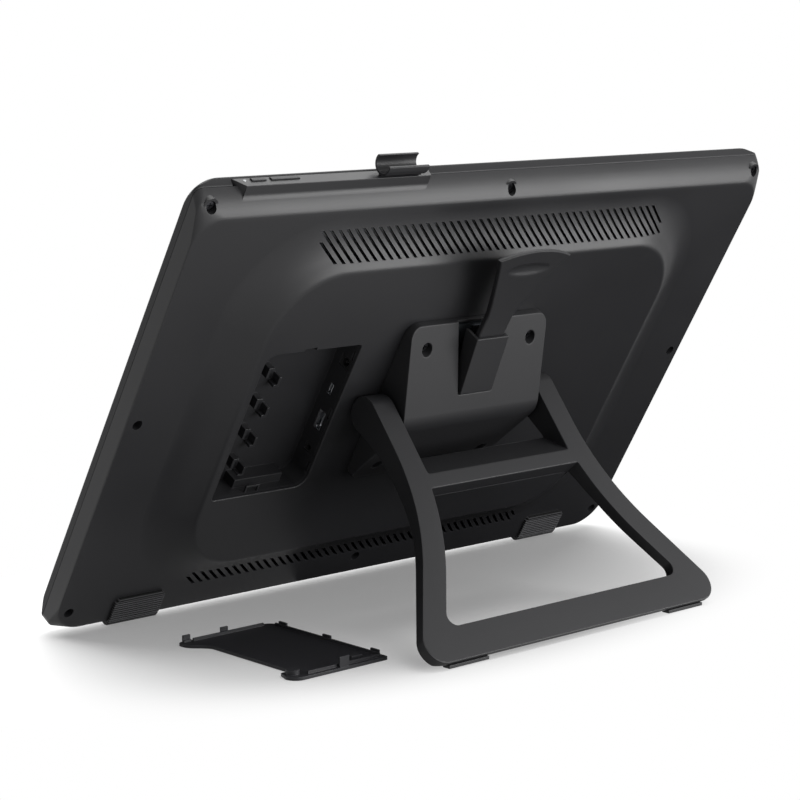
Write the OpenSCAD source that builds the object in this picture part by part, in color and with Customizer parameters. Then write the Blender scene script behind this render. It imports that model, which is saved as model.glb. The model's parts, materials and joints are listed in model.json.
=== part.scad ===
// Pen display standing on its folding rear stand, with the port lid lying behind it.
// Units are millimetres, +Z is up, the screen faces -Y and the stand is on the +Y side.
// Inside the tablet a point is given as x, v (up the screen) and n (depth behind the glass).

/* [Tablet] */
// Width of the tablet
body_w = 535; // [500:1:600]
// Height of the tablet along the screen
body_h = 353; // [335:1:380]
// Depth of the tablet at its edges
edge_d = 19.2; // [18:0.1:22]
// Depth of the front frame
frame_d = 5.7; // [5:0.1:6.5]
// Radius of the tablet's corners at the glass
corner_r = 20; // [16:1:24]
// Wall of the rear shell
wall = 2.5; // [2:0.1:3]
// Width of the border beside the screen glass
bezel_x = 17.5; // [14:0.5:40]
// Width of the border above and below the screen glass
bezel_v = 30.5; // [26:0.5:40]

/* [Back] */
// Height of the raised back over the edges
bump_rise = 13.5; // [12:0.1:16]
// Distance from the tablet's sides to the flat top
bump_side = 77.5; // [70:0.5:86]
// Distance from the tablet's lower edge to the flat top
bump_low = 48.6; // [45:0.1:52]
// Distance from the tablet's upper edge to the flat top
bump_top = 57.7; // [54:0.1:62]
// Corner radius of the flat top
bump_r = 52; // [46:1:56]
// Width of the sloping sides of the raised back
bump_slope = 34; // [28:1:38]
// Number of slots in each row of vents
vent_count = 47; // [30:1:48]
// Spacing of the vent slots
vent_pitch = 7; // [6:0.1:7.2]
// Width of one vent slot
vent_w = 3; // [2:0.1:3.4]

/* [Port bay] */
// Width of the port bay
bay_w = 81.5; // [78:0.5:84]
// Height of the port bay
bay_h = 121.5; // [114:0.5:124]
// Depth of the port bay
bay_d = 20; // [18:0.5:21]
// Gap all round between the lid and the bay
lid_gap = 0.5; // [0.3:0.1:1]
// Thickness of the lid
lid_t = 2.2; // [1.8:0.1:3]

/* [Stand] */
// Tilt of the screen from the table
tilt = 59.5; // [56:0.5:62]
// Height of the hinge over the raised back
hinge_rise = 13.7; // [13.5:0.1:16]
// Length of the legs below the hinge
leg_len = 188.4; // [184:0.2:194]
// Width of one leg
leg_w = 18.6; // [16:0.1:22]
// Radius of the legs' upper ends
arm_r = 13.2; // [12.5:0.1:13.2]
// Gap between the mount cover and the legs
arm_gap = 3; // [2:0.5:6]
// Diameter of the hinge shaft
shaft_d = 12; // [10:0.5:13]
// Spacing of the mounting screws, one of the two standard squares
vesa = 100; // [75, 100]
// Width of the mount cover
cover_w = 131; // [126:1:150]
// Wall of the mount cover
cover_t = 2.2; // [1.8:0.1:2.6]
// Half width of the lever's bar
lever_hw = 12.3; // [11:0.1:13]
// Height of the stand's rubber feet
foot_h = 2.4; // [2:0.1:4]
// Height of the tablet's rubber feet below its edge
pad_h = 3.2; // [2.6:0.1:4]

/* [Fits] */
// Radial clearance of a turning fit
run_fit = 0.05; // [0.03:0.01:0.1]
// Gap between faces that pass each other
pass_gap = 0.3; // [0.2:0.05:0.5]

/* [Hidden] */
$fn = 64;
eps = 0.01;
// Sizes of the screen glass and of the raised back's flat top
glass_w = body_w - 2 * bezel_x;
glass_h = body_h - 2 * bezel_v;
bump_w = body_w - 2 * bump_side;
// Depths of the flat top, the hinge and the inner faces
top_n = edge_d + bump_rise;
hinge_n = top_n + hinge_rise;
in_n = top_n - wall;
hinge_v = body_h - 172;
// Stack behind the glass
glass_t = 2;
glass_r = 6;
lcd_t = 4.5;
sensor_t = 1;
plate_t = 1.2;
lcd_n = glass_t + lcd_t;
sens_n = lcd_n + sensor_t;
plate_n = sens_n + plate_t;
board_t = 1.6;
board_n = in_n - 10.8;
// How far the frame's lip, the screen and the chassis plate stop inside the glass
frame_lip = 7;
lcd_in = 8;
plate_in = 6;
plate_v = 17;
// Hollow slopes of the raised back: share of the width and gain in radius below, and the curve's power
slope_low = 0.8;
slope_gain = 0.7;
slope_pow = 1.8;
slope_foot = 0.4;
// Rows of vents: distances outside the flat top, leans, and the shares left of the first and last slot
vent_up = [4.5, 25.3];
vent_down = [28.2, 14.7];
vent_lean = [0.97, 1.04];
vent_short = [0.34, 0.63];
// Edges of the flat top and of the port bay
bump_v0 = bump_low;
bump_v1 = body_h - bump_top;
bay_x1 = bump_w / 2 - 8.1;
bay_x0 = bay_x1 - bay_w;
bay_v0 = hinge_v - 70;
bay_v1 = bay_v0 + bay_h;
bay_n = top_n - bay_d;
tray_t = 1.5;
// Radii of the bay's corners, anticlockwise from the lower one at the tablet's side
bay_r = [2, 9, 3, 9];
// Step on the bay's floor: place along x, height up the wall and depth
step_x = [16, 58];
step_v = 7;
step_h = 11;
// Notch over the bay and loop below it that take the lid's prongs
latch_x = [40.6, 51];
latch_v = 2.6;
loop_x = [39.6, 51.6];
loop_v = 5.8;
loop_t = 1.6;
loop_w = 1.4;
// Slots that take the lid's hooks
hook_v = [13.5, 60, 108];
hook_h = 4.2;
hook_n = [0.4, 2.1];
hook_d = 1.6;
// Cable holders in the bay: four pairs of hooks
hold_count = 4;
hold_v = hinge_v + 21;
hold_pitch = 25.6;
hold_x = 55;
hold_out = 6.2;
hold_up = 4.4;
hold_t = 2;
hold_l = 8;
hold_h = 7;
hold_lip = 4;
// Rounded upper edge of the tablet
brow_r = 34;
brow_n = -12.8;
brow_v = body_h - sqrt(brow_r * brow_r - brow_n * brow_n);
// Radii of the tablet's corners: below the rim, then at the back, lower and upper
mid_r = 6;
back_r = [24, 21];
rim_n = 4;
mid_n = 13;
// Raised ledge that holds the buttons and the pen clip
ledge_v = body_h - 0.6;
ledge_n = 10.9;
ledge_fall = 4.3;
ledge_low = body_h - 13;
ledge_w = 159;
ledge_x1 = body_w / 2 - 31.5;
ledge_x0 = ledge_x1 - ledge_w;
ledge_t = 2;
ledge_n0 = 2;
ledge_flare = 4;
ledge_slant = 5;
ledge_lean = [6, 1];
// Buttons, lamp and board in the ledge
key_n0 = 3.4;
key_n1 = 6.4;
key_c = [ledge_x1 - 16.8, ledge_x1 - 38.1];
key_l = [11.3, 23];
key_up = 0.9;
key_go = 0.8;
key_gap = 0.25;
pcb_v1 = ledge_v - 6.5;
pcb_x0 = ledge_x1 - 55;
pcb_x1 = ledge_x1 - 4.5;
pcb_n0 = 2.8;
pcb_n1 = 7.4;
pcb_t = 1.2;
dome_h = 1.2;
led_x = ledge_x1 - 6.2;
led_n = (key_n0 + key_n1) / 2;
led_r = 1;
// Pen clip
clip_x0 = ledge_x0 + 10;
clip_x1 = clip_x0 + 35;
clip_c = [ledge_v + 9, 8];
clip_r = 6;
clip_t = 1.6;
clip_root = 6;
clip_hw = 0.9;
clip_wide = 4.2;
clip_neck = 4;
// Radii of the small screws' threads, of the holes they pass and of their heads
thread_r = 1.25;
thread_way = 1.6;
pan_r = 2.6;
pan_h = 1.8;
// Places of the case screws as x and v, their holes and their heads
case_at = [
  for (s = [-1, 1]) for (v = [15.5, body_h / 2, body_h - 12]) [s * (body_w / 2 - 9.6), v],
  [0, 15],
  [0, body_h - 13]
];
case_hole = 7.6;
case_seat = 10.5;
case_way = 1.7;
case_head = 2.9;
case_head_h = 2.2;
case_wall = 2;
post_r = 3.5;
boss_r = 5.6;
// Rubber feet of the tablet
pad_x = body_w / 2 - 67.5;
pad_w = 42;
pad_top = 20.7;
pad_cut = 3;
pad_sink = 1.2;
pad_back = 11;
pad_out = 2.2;
rib_pitch = 2;
rib_gap = 0.9;
rib_d = 0.7;
rib_count = 9;
// Place of the tablet on the table
z0 = pad_h + edge_d * cos(tilt);
// The hinge in the row's frame, before the shift that centres the part
hinge_y0 = hinge_v * cos(tilt) + hinge_n * sin(tilt);
hinge_z = z0 + hinge_v * sin(tilt) - hinge_n * cos(tilt);
leg_b = arm_r;
leg_end_t = 8;
leg_low_r = sqrt(pow(leg_len, 2) + pow(leg_b - leg_end_t, 2));
leg_a = acos(hinge_z / leg_low_r) - atan((leg_b - leg_end_t) / leg_len);
y_max = hinge_y0 + leg_len * sin(leg_a) + leg_b * cos(leg_a);
y_shift = -y_max / 2;
hinge_y = hinge_y0 + y_shift;
// Legs seen square to their front: an outer bend, a straight run and a rounded corner
arm_x = cover_w / 2 + arm_gap;
shaft_in = 15;
leg_x = arm_x + leg_w;
bend_r = 175;
bend_s = 33;
bend_a = 30;
bend_x = leg_x + bend_r;
foot_r = 14;
win_r = 6.5;
bar_s = leg_len - 23.5;
cross_s0 = 56.3;
cross_s1 = 67.2;
bend_end_x = bend_x - bend_r * cos(bend_a);
bend_end_s = bend_s + bend_r * sin(bend_a);
foot_s = leg_len - foot_r;
foot_x = bend_end_x + ((foot_s - bend_end_s) * sin(bend_a) - foot_r) / cos(bend_a);
wide_r = bend_r + leg_w;
in_end_x = bend_x - wide_r * cos(bend_a);
in_end_s = bend_s + wide_r * sin(bend_a);
win_s = bar_s - win_r;
win_x = in_end_x + ((win_s - in_end_s) * sin(bend_a) - win_r) / cos(bend_a);
// Profile behind the legs' front: thickness and place down the leg
leg_prof = [[10, 95], [12, 75], [14.4, 60], [17, 34], [21, 17]];
cross_back = [12, 17.2];
cross_top = 36.2;
// Rubber feet of the stand
stand_pad_x = foot_x - 19;
stand_pad_w = 36;
stand_pad_l = 6.4;
// Mount cover: a barrel over the hinge with two sloping wings
barrel_r = 17.8;
wing_a = 22.8;
cover_v = 66;
cover_r = 9;
cover_x = cover_w / 2;
base_t = 3;
base_n = top_n + base_t;
base_in = [5.5, 4];
// Mounting screws: thread, the holes they pass, heads, and the wells in the cover
bolt_r = 2;
bolt_way = 2.3;
bolt_head = 3.6;
bolt_head_h = 3;
bolt_hold = 10;
bolt_floor = 2;
well_r = 4.5;
well_wall = 1.7;
ear_x = cover_x - 12.5;
ear_t = 6;
bush_r = shaft_d / 2 + 2;
drum_r = 12;
drum_x = 14;
// Release lever
lev_v = hinge_v + 22;
lev_n = base_n + 4.9;
lev_pin_r = 2;
lug_x = lever_hw + 3.7;
lev_n1 = hinge_n + 5.1;
lev_t = 4.6;
lev_flat = hinge_v + 77;
lev_tip = hinge_v + 132;
lev_tip_hw = 34;
lev_arch = 7;
lev_curl = 7.6;
lev_curl_v = 12;
lev_curl_l = 66;
lev_thin = 0.3;
lug_t = 4;
cap_hw = 15.3;
cap_skirt = 6.6;
cap_gap = 0.7;
cap_flare = 7;
cap_v0 = hinge_v + 18.4;
cap_v1 = hinge_v + 61.5;
slot_v = hinge_v + 17.4;
slot_floor = 0.4;
// Port lid lying on the table
lid_w = bay_w - 2 * lid_gap;
lid_h = bay_h - 2 * lid_gap;
lid_x = 137.2;
lid_mid = 152.3;
lid_y = lid_mid - lid_h / 2 + y_shift;
lid_cut = 11.5;
lid_lobe = 17;
lid_step = lid_h - lid_lobe;
lid_r = [2.5, 8.5];
rim_in = 3;
rim_t = 1.4;
rim_h = 2;
prong_t = 1.6;

// Places a piece given in the tablet's own directions
module tab() {
  translate([0, y_shift, z0]) rotate([tilt, 0, 0]) children();
}

// Places a piece given in the legs' own directions: x, b forward, -s down the leg
module leg() {
  translate([0, hinge_y, hinge_z]) rotate([leg_a, 0, 0]) children();
}

// Box between two corners in x, v and n
module slab(x0, x1, v0, v1, n0, n1) {
  translate([x0, v0, -n1]) cube([x1 - x0, v1 - v0, n1 - n0]);
}

// Round bar along n
module ncyl(x, v, r, n0, n1) {
  translate([x, v, -n1]) cylinder(r = r, h = n1 - n0);
}

// Round bar along x
module xcyl(v, n, r, x0, x1) {
  translate([x0, v, -n]) rotate([0, 90, 0]) cylinder(r = r, h = x1 - x0);
}

// Round bar along v
module vcyl(x, n, r, v0, v1) {
  translate([x, v0, -n]) rotate([-90, 0, 0]) cylinder(r = r, h = v1 - v0);
}

// Outline in v and n drawn out along x
module side(pts, x0, x1) {
  translate([x0, 0, 0]) rotate([90, 0, 90]) linear_extrude(x1 - x0)
    polygon([for (p = pts) [p[0], -p[1]]]);
}

// Outline in x and v drawn out along n
module plan(pts, n0, n1) {
  translate([0, 0, -n1]) linear_extrude(n1 - n0) polygon(pts);
}

// Points of an arc
function arc(c, r, a0, a1, k) =
  [for (i = [0 : k]) [c[0] + r * cos(a0 + (a1 - a0) * i / k), c[1] + r * sin(a0 + (a1 - a0) * i / k)]];

// Rectangle with one radius for its lower corners and one for its upper corners
function round_two(x0, x1, v0, v1, r0, r1, k) = concat(
  arc([x1 - r0, v0 + r0], r0, -90, 0, k),
  arc([x1 - r1, v1 - r1], r1, 0, 90, k),
  arc([x0 + r1, v1 - r1], r1, 90, 180, k),
  arc([x0 + r0, v0 + r0], r0, 180, 270, k)
);

// Rectangle whose four corners are rounded alike
function round_box(x0, x1, v0, v1, r, k) = round_two(x0, x1, v0, v1, r, r, k);

// Solid through outlines of equally many points, each at its own depth
module loft(rings, depths) {
  k = len(rings[0]);
  m = len(rings);
  polyhedron(
    points = [for (j = [0 : m - 1]) for (p = rings[j]) [p[0], p[1], -depths[j]]],
    faces = concat(
      [[for (i = [k - 1 : -1 : 0]) i]],
      [for (j = [0 : m - 2]) for (i = [0 : k - 1])
        [j * k + i, j * k + (i + 1) % k, (j + 1) * k + (i + 1) % k]],
      [for (j = [0 : m - 2]) for (i = [0 : k - 1])
        [j * k + i, (j + 1) * k + (i + 1) % k, (j + 1) * k + i]],
      [[for (i = [0 : k - 1]) (m - 1) * k + i]]
    )
  );
}

// Radius of a corner of the tablet at a depth: wide at the glass, tight below the rim, wide at the back
function corner(n, r) =
  n < rim_n ? corner_r + (mid_r - corner_r) * n / rim_n :
  n < mid_n ? mid_r :
  mid_r + (r - mid_r) * (n - mid_n) / (edge_d - mid_n);

// Outline of the tablet at a depth, with its rounded upper edge, drawn in by d
function outline(n, d) = round_two(-body_w / 2 + d, body_w / 2 - d, d,
  brow_v + sqrt(pow(brow_r - d, 2) - pow(n - brow_n, 2)),
  corner(n, back_r[0]) - d, corner(n, back_r[1]) - d, 8);

// Tablet between two depths, drawn in by d
module body(d, n0, n1, steps) {
  depths = [for (i = [0 : steps]) n0 + (n1 - n0) * i / steps];
  loft([for (n = depths) outline(n, d)], depths);
}

// Outline and depth of the raised back's hollow slope, from the flat top (u = 0) to its foot (u = 1)
function slope_pts(u, d) = round_box(-bump_w / 2 - u * bump_slope + d, bump_w / 2 + u * bump_slope - d,
  bump_v0 - slope_low * u * bump_slope + d, bump_v1 + u * bump_slope - d,
  bump_r + slope_gain * u * bump_slope - d, 12);
function slope_n(u) = edge_d + bump_rise * pow(1 - u, slope_pow);

// Raised back drawn in by d, which reaches a little below the edges
module bump(d) {
  loft(
    [for (u = [1, 1, 0.68, 0.42, 0.2, 0]) slope_pts(u, d)],
    concat([edge_d - d - slope_foot], [for (u = [1, 0.68, 0.42, 0.2, 0]) slope_n(u) - d])
  );
}

// Ledge on the upper edge
module ledge(n0) {
  intersection() {
    plan([
      [ledge_x0 - ledge_flare, ledge_low],
      [ledge_x1 + ledge_flare, ledge_low],
      [ledge_x1 + ledge_flare, ledge_v],
      [ledge_x0 - ledge_flare, ledge_v]
    ], n0, ledge_n + ledge_slant);
    side([
      [ledge_low, 0],
      [ledge_v, 0],
      [ledge_v, ledge_n],
      [ledge_low, ledge_n + ledge_fall]
    ], ledge_x0 - ledge_flare - 1, ledge_x1 + ledge_flare + 1);
    translate([0, ledge_v + 1, 0]) rotate([90, 0, 0]) linear_extrude(ledge_v - ledge_low + 2) polygon([
      [ledge_x0 - ledge_flare, 0],
      [ledge_x0, -ledge_n],
      [ledge_x0 + ledge_lean[0], -ledge_n - ledge_slant],
      [ledge_x1 + ledge_lean[1], -ledge_n - ledge_slant],
      [ledge_x1 - ledge_flare, -ledge_n],
      [ledge_x1 + ledge_flare, 0]
    ]);
  }
}

// One row of slanted vent slots across a slope
module vents(v0, v1, lean) {
  for (i = [0 : vent_count - 1]) {
    x = (i - (vent_count - 1) / 2) * vent_pitch - vent_w / 2 - lean * (v1 - v0) / 2;
    hi = (i == vent_count - 1) ? v0 + (v1 - v0) * vent_short[1] : v1;
    end = (i == 0) ? v0 + (v1 - v0) * vent_short[0] : v0;
    plan([
      [x + lean * (end - v0), end],
      [x + vent_w + lean * (end - v0), end],
      [x + vent_w + lean * (hi - v0), hi],
      [x + lean * (hi - v0), hi]
    ], edge_d - 2 * wall, top_n);
  }
}

// Outline of the screen glass
function glass_pts() = round_box(-glass_w / 2, glass_w / 2, body_h / 2 - glass_h / 2,
  body_h / 2 + glass_h / 2, glass_r, 8);

// Block between two depths that stops inside the edges of the glass by d
module in_glass(d, n0, n1) {
  slab(-glass_w / 2 + d, glass_w / 2 - d, body_h / 2 - glass_h / 2 + d, body_h / 2 + glass_h / 2 - d,
    n0, n1);
}

module front_glass() {
  color("#0b0c0e") tab()
    plan(glass_pts(), 0, glass_t);
}

module front_frame() {
  color("#17181a") tab() difference() {
    union() {
      difference() {
        body(0, 0, frame_d, 3);
        plan(glass_pts(), -1, glass_t);
        in_glass(frame_lip, 0, frame_d + 1);
      }
      for (p = case_at) ncyl(p[0], p[1], post_r, frame_d - 1, case_seat - case_wall);
      for (p = plate_at) ncyl(p[0], p[1], plate_post_r, frame_d - 1, sens_n);
    }
    ledge(ledge_n0);
    for (p = case_at) ncyl(p[0], p[1], thread_r, thread_n, case_seat);
    for (p = plate_at) ncyl(p[0], p[1], thread_r, thread_n, sens_n + 1);
  }
}

module lcd_panel() {
  color("#2a2c30") tab()
    in_glass(lcd_in, glass_t, lcd_n);
}

module sensor_board() {
  color("#1f4a35") tab()
    in_glass(lcd_in, lcd_n, sens_n);
}

// Screws that hold the chassis plate, and the main board's posts
plate_screw_v = 22.5;
plate_screw_x = [0.28, 0.85];
plate_at = [for (s = [-1, 1]) for (v = [plate_screw_v, body_h - plate_screw_v])
  for (x = plate_screw_x) [s * x * glass_w / 2, v]];
plate_post_r = 4;
thread_n = 2.5;
board_x0 = -80;
board_x1 = bay_x0 - wall - 0.5;
board_v0 = hinge_v - 68;
board_v1 = hinge_v + 70;
board_in = 6;
board_post_r = 3;
board_hold = 6;
vesa_post_r = 5;
vesa_hold = 14;
post_at = [for (x = [board_x0 + board_in, board_x1 - board_in])
  for (v = [board_v0 + board_in, board_v1 - board_in]) [x, v]];
vesa_at = [for (x = [-1, 1]) for (v = [-1, 1]) [x * vesa / 2, hinge_v + v * vesa / 2]];

module chassis_plate() {
  color("#8f9398") tab() difference() {
    union() {
      slab(-glass_w / 2 + plate_in, glass_w / 2 - plate_in, plate_v, body_h - plate_v, sens_n, plate_n);
      for (p = vesa_at) ncyl(p[0], p[1], vesa_post_r, plate_n - 0.2, in_n);
      for (p = post_at) ncyl(p[0], p[1], board_post_r, plate_n - 0.2, board_n - board_t);
    }
    for (p = plate_at) ncyl(p[0], p[1], thread_way, sens_n - 1, plate_n + 1);
    for (p = vesa_at) ncyl(p[0], p[1], bolt_r, in_n - vesa_hold, in_n + 1);
    for (p = post_at) ncyl(p[0], p[1], thread_r, board_n - board_t - board_hold, board_n);
    for (p = case_at) ncyl(p[0], p[1], boss_r + 2 * pass_gap, sens_n - 1, plate_n + 1);
  }
}

module chassis_screws() {
  color("#b4b6ba") tab() for (p = plate_at) union() {
    ncyl(p[0], p[1], thread_r, thread_n + 0.5, plate_n + 0.5);
    ncyl(p[0], p[1], pan_r, plate_n, plate_n + pan_h);
  }
}

module main_board() {
  color("#1d5a3c") tab() difference() {
    slab(board_x0, board_x1, board_v0, board_v1, board_n - board_t, board_n);
    for (p = vesa_at) ncyl(p[0], p[1], vesa_post_r + 5 * pass_gap, board_n - board_t - 1, board_n + 1);
    for (p = post_at) ncyl(p[0], p[1], thread_way, board_n - board_t - 1, board_n + 1);
  }
}

module board_screws() {
  color("#b4b6ba") tab() for (p = post_at) union() {
    ncyl(p[0], p[1], thread_r, board_n - board_t - board_hold + 1, board_n + 0.5);
    ncyl(p[0], p[1], pan_r, board_n, board_n + pan_h);
  }
}

// Ports face the bay through its inner wall
port_x = bay_x0 - 0.6;
port_gap = 0.1;
dc_v = hinge_v + 31;
usb_v = hinge_v + 5.5;
hdmi_v = hinge_v - 20;
audio_v = hinge_v - 44;
dc_n = board_n + 5;
usb_n = board_n + 1.6;
hdmi_n = board_n + 3.6;
audio_n = board_n + 3.4;
// Half width, length and top of each socket's housing
dc_size = [4.5, 14, dc_n + 4.8];
usb_size = [4.5, 9, usb_n + 1.6];
hdmi_size = [7.5, 11, hdmi_n + 2.8];
audio_size = [3.2, 12, audio_n + 3];

// Housing of a socket on the board
module housing(v, size) {
  slab(port_x - size[1], port_x, v - size[0], v + size[0], board_n, size[2]);
}

module dc_jack() {
  color("#1b1b1c") tab() union() {
    difference() {
      housing(dc_v, dc_size);
      xcyl(dc_v, dc_n, 3.15, port_x - 9.5, port_x + 1);
    }
    xcyl(dc_v, dc_n, 1, port_x - 10, port_x - 1);
  }
}

module usb_port() {
  color("#a9acb1") tab() union() {
    difference() {
      housing(usb_v, usb_size);
      slab(port_x - 7, port_x + 1, usb_v - 4.15, usb_v + 4.15, usb_n - 1.25, usb_n + 1.25);
    }
    slab(port_x - 8, port_x - 1.5, usb_v - 3.3, usb_v + 3.3, usb_n - 0.35, usb_n + 0.35);
  }
}

module hdmi_port() {
  color("#a9acb1") tab() union() {
    difference() {
      housing(hdmi_v, hdmi_size);
      side([
        [hdmi_v - 7, hdmi_n + 2.3],
        [hdmi_v + 7, hdmi_n + 2.3],
        [hdmi_v + 7, hdmi_n - 0.6],
        [hdmi_v + 5.2, hdmi_n - 2.3],
        [hdmi_v - 5.2, hdmi_n - 2.3],
        [hdmi_v - 7, hdmi_n - 0.6]
      ], port_x - 9, port_x + 1);
    }
    slab(port_x - 10, port_x - 2, hdmi_v - 5, hdmi_v + 5, hdmi_n - 0.4, hdmi_n + 0.6);
  }
}

module audio_jack() {
  color("#1b1b1c") tab() difference() {
    housing(audio_v, audio_size);
    xcyl(audio_v, audio_n, 1.8, port_x - 11, port_x + 1);
  }
}

module button_board() {
  color("#1d5a3c") tab() union() {
    slab(pcb_x0, pcb_x1, pcb_v1 - pcb_t, pcb_v1, pcb_n0, pcb_n1);
    for (c = key_c) slab(c - 2, c + 2, pcb_v1 - eps, pcb_v1 + dome_h, key_n0 - 0.4, key_n1 + 0.4);
  }
}

module led_window() {
  color("#e8eef2") tab() vcyl(led_x, led_n, led_r, pcb_v1, ledge_v + 0.1);
}

// Push key with a flange that holds it under the ledge
module key(i) {
  h = key_l[i] / 2;
  slab(key_c[i] - h, key_c[i] + h, ledge_v - ledge_t - 1, ledge_v + key_up, key_n0, key_n1);
  slab(key_c[i] - h - 0.7, key_c[i] + h + 0.7, ledge_v - ledge_t - 1, ledge_v - ledge_t, key_n0 - 0.5,
    key_n1 + 0.5);
  slab(key_c[i] - 1, key_c[i] + 1, pcb_v1 + dome_h + key_go + 0.1, ledge_v - ledge_t - 0.5, key_n0 + 0.5,
    key_n1 - 0.5);
}

module power_button() {
  color("#202123") tab() union() key(0);
}

module menu_button() {
  color("#202123") tab() union() key(1);
}

// Cable holders on the floor of the bay: pairs of small hooks that face each other
module holders() {
  for (i = [0 : hold_count - 1]) {
    v = hold_v - hold_pitch * i;
    for (s = [-1, 1]) {
      x = bay_x0 + hold_x + s * hold_out;
      y = v + s * hold_up;
      slab(x - hold_t / 2, x + hold_t / 2, y - hold_l / 2, y + hold_l / 2, bay_n - 0.5, bay_n + hold_h);
      lip = y + s * (hold_l - hold_t) / 2;
      slab(min(x, x - s * hold_lip), max(x, x - s * hold_lip), lip - hold_t / 2, lip + hold_t / 2,
        bay_n - 0.5, bay_n + hold_h);
    }
  }
}

// Outline of the bay drawn in by d, with two large and two small corners
function bay_pts(d) = concat(
  arc([bay_x1 - d - bay_r[0], bay_v0 + d + bay_r[0]], bay_r[0], -90, 0, 3),
  arc([bay_x1 - d - bay_r[1], bay_v1 - d - bay_r[1]], bay_r[1], 0, 90, 8),
  arc([bay_x0 + d + bay_r[2], bay_v1 - d - bay_r[2]], bay_r[2], 90, 180, 4),
  arc([bay_x0 + d + bay_r[3], bay_v0 + d + bay_r[3]], bay_r[3], 180, 270, 8)
);

// Loop at the bay's lower edge that a prong of the lid snaps into
module loop() {
  difference() {
    slab(bay_x0 + loop_x[0], bay_x0 + loop_x[1], bay_v0 - 1, bay_v0 + loop_v, in_n - loop_t, in_n);
    slab(bay_x0 + loop_x[0] + loop_w, bay_x0 + loop_x[1] - loop_w, bay_v0, bay_v0 + loop_v - loop_w,
      in_n - loop_t - 1, in_n + 1);
  }
}

// Tray under the opening of the port bay, with a step, cable holders and cut-outs for the sockets
module bay_tray() {
  color("#19191b") tab() difference() {
    slab(bay_x0 - wall, bay_x1 + wall, bay_v0 - wall, bay_v1 + wall, bay_n - tray_t, in_n);
    difference() {
      plan(bay_pts(0), bay_n, in_n + 1);
      holders();
      slab(bay_x0 + step_x[0], bay_x0 + step_x[1], bay_v0 - 1, bay_v0 + step_v, bay_n - 1, bay_n + step_h);
      loop();
    }
    // Hook slots for the lid
    for (v = hook_v) slab(bay_x0 - hook_d, bay_x0 + 1, bay_v0 + v - hook_h, bay_v0 + v + hook_h,
      in_n - hook_n[1], in_n - hook_n[0]);
    // Cut-outs for the sockets
    port_cut(dc_v, dc_size);
    port_cut(usb_v, usb_size);
    port_cut(hdmi_v, hdmi_size);
    port_cut(audio_v, audio_size);
  }
}

// Cut-out in the tray's wall round a socket's housing
module port_cut(v, size) {
  slab(bay_x0 - wall - 1, bay_x0 + 1, v - size[0] - port_gap, v + size[0] + port_gap, board_n - port_gap,
    size[2] + port_gap);
}

module rear_shell() {
  color("#1b1c1e") tab() difference() {
    union() {
      difference() {
        union() {
          body(0, frame_d, edge_d, 5);
          bump(0);
          ledge(ledge_n0);
        }
        body(wall, frame_d - 1, edge_d - wall, 5);
        bump(wall);
        slab(pcb_x0, pcb_x1, ledge_v - 14, ledge_v - ledge_t, pcb_n0, pcb_n1);
      }
      intersection() {
        for (p = case_at) ncyl(p[0], p[1], boss_r, case_seat - case_wall, edge_d);
        body(0, frame_d, edge_d, 5);
      }
    }
    // Opening of the port bay, with the notch for the lid's prong
    plan(bay_pts(0), in_n - 1, top_n + 1);
    slab(bay_x0 + latch_x[0], bay_x0 + latch_x[1], bay_v1 - 1, bay_v1 + latch_v, in_n - 1, top_n + 1);
    // Screw holes
    for (p = case_at) ncyl(p[0], p[1], case_hole / 2, case_seat, edge_d + 20);
    for (p = case_at) ncyl(p[0], p[1], case_way, frame_d - 1, case_seat + 1);
    for (p = case_at) ncyl(p[0], p[1], post_r + port_gap, frame_d - 1, case_seat - case_wall);
    for (p = vesa_at) ncyl(p[0], p[1], bolt_way + port_gap, in_n - 1, top_n + 1);
    // Vents
    vents(bump_v1 + vent_up[0], bump_v1 + vent_up[1], vent_lean[0]);
    vents(bump_v0 - vent_down[0], bump_v0 - vent_down[1], vent_lean[1]);
    // Keys, lamp, pen clip and feet
    for (i = [0, 1]) slab(key_c[i] - key_l[i] / 2 - key_gap, key_c[i] + key_l[i] / 2 + key_gap,
      ledge_v - ledge_t - 1, ledge_v + 1, key_n0 - key_gap, key_n1 + key_gap);
    vcyl(led_x, led_n, led_r, ledge_v - ledge_t - 1, ledge_v + 1);
    slab(clip_x0 - 2, clip_x1 - 1, ledge_v - clip_root, ledge_v + 1, clip_c[1] - clip_hw, clip_c[1] + 1.7);
    for (s = [-1, 1]) pad_seat(s);
  }
}

// Outline of a rubber foot on the back, from a place v up to its cut corners
function pad_pts(s, v) = [
  [s * pad_x - pad_w / 2, v],
  [s * pad_x + pad_w / 2, v],
  [s * pad_x + pad_w / 2, pad_top - pad_cut],
  [s * pad_x + pad_w / 2 - pad_cut, pad_top],
  [s * pad_x - pad_w / 2 + pad_cut, pad_top],
  [s * pad_x - pad_w / 2, pad_top - pad_cut]
];

// Recess that takes one of the tablet's rubber feet
module pad_seat(s) {
  plan(pad_pts(s, -2), edge_d - pad_sink, edge_d + 8);
  slab(s * pad_x - pad_w / 2, s * pad_x + pad_w / 2, -2, pad_sink, edge_d - pad_back, edge_d + 8);
}

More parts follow.
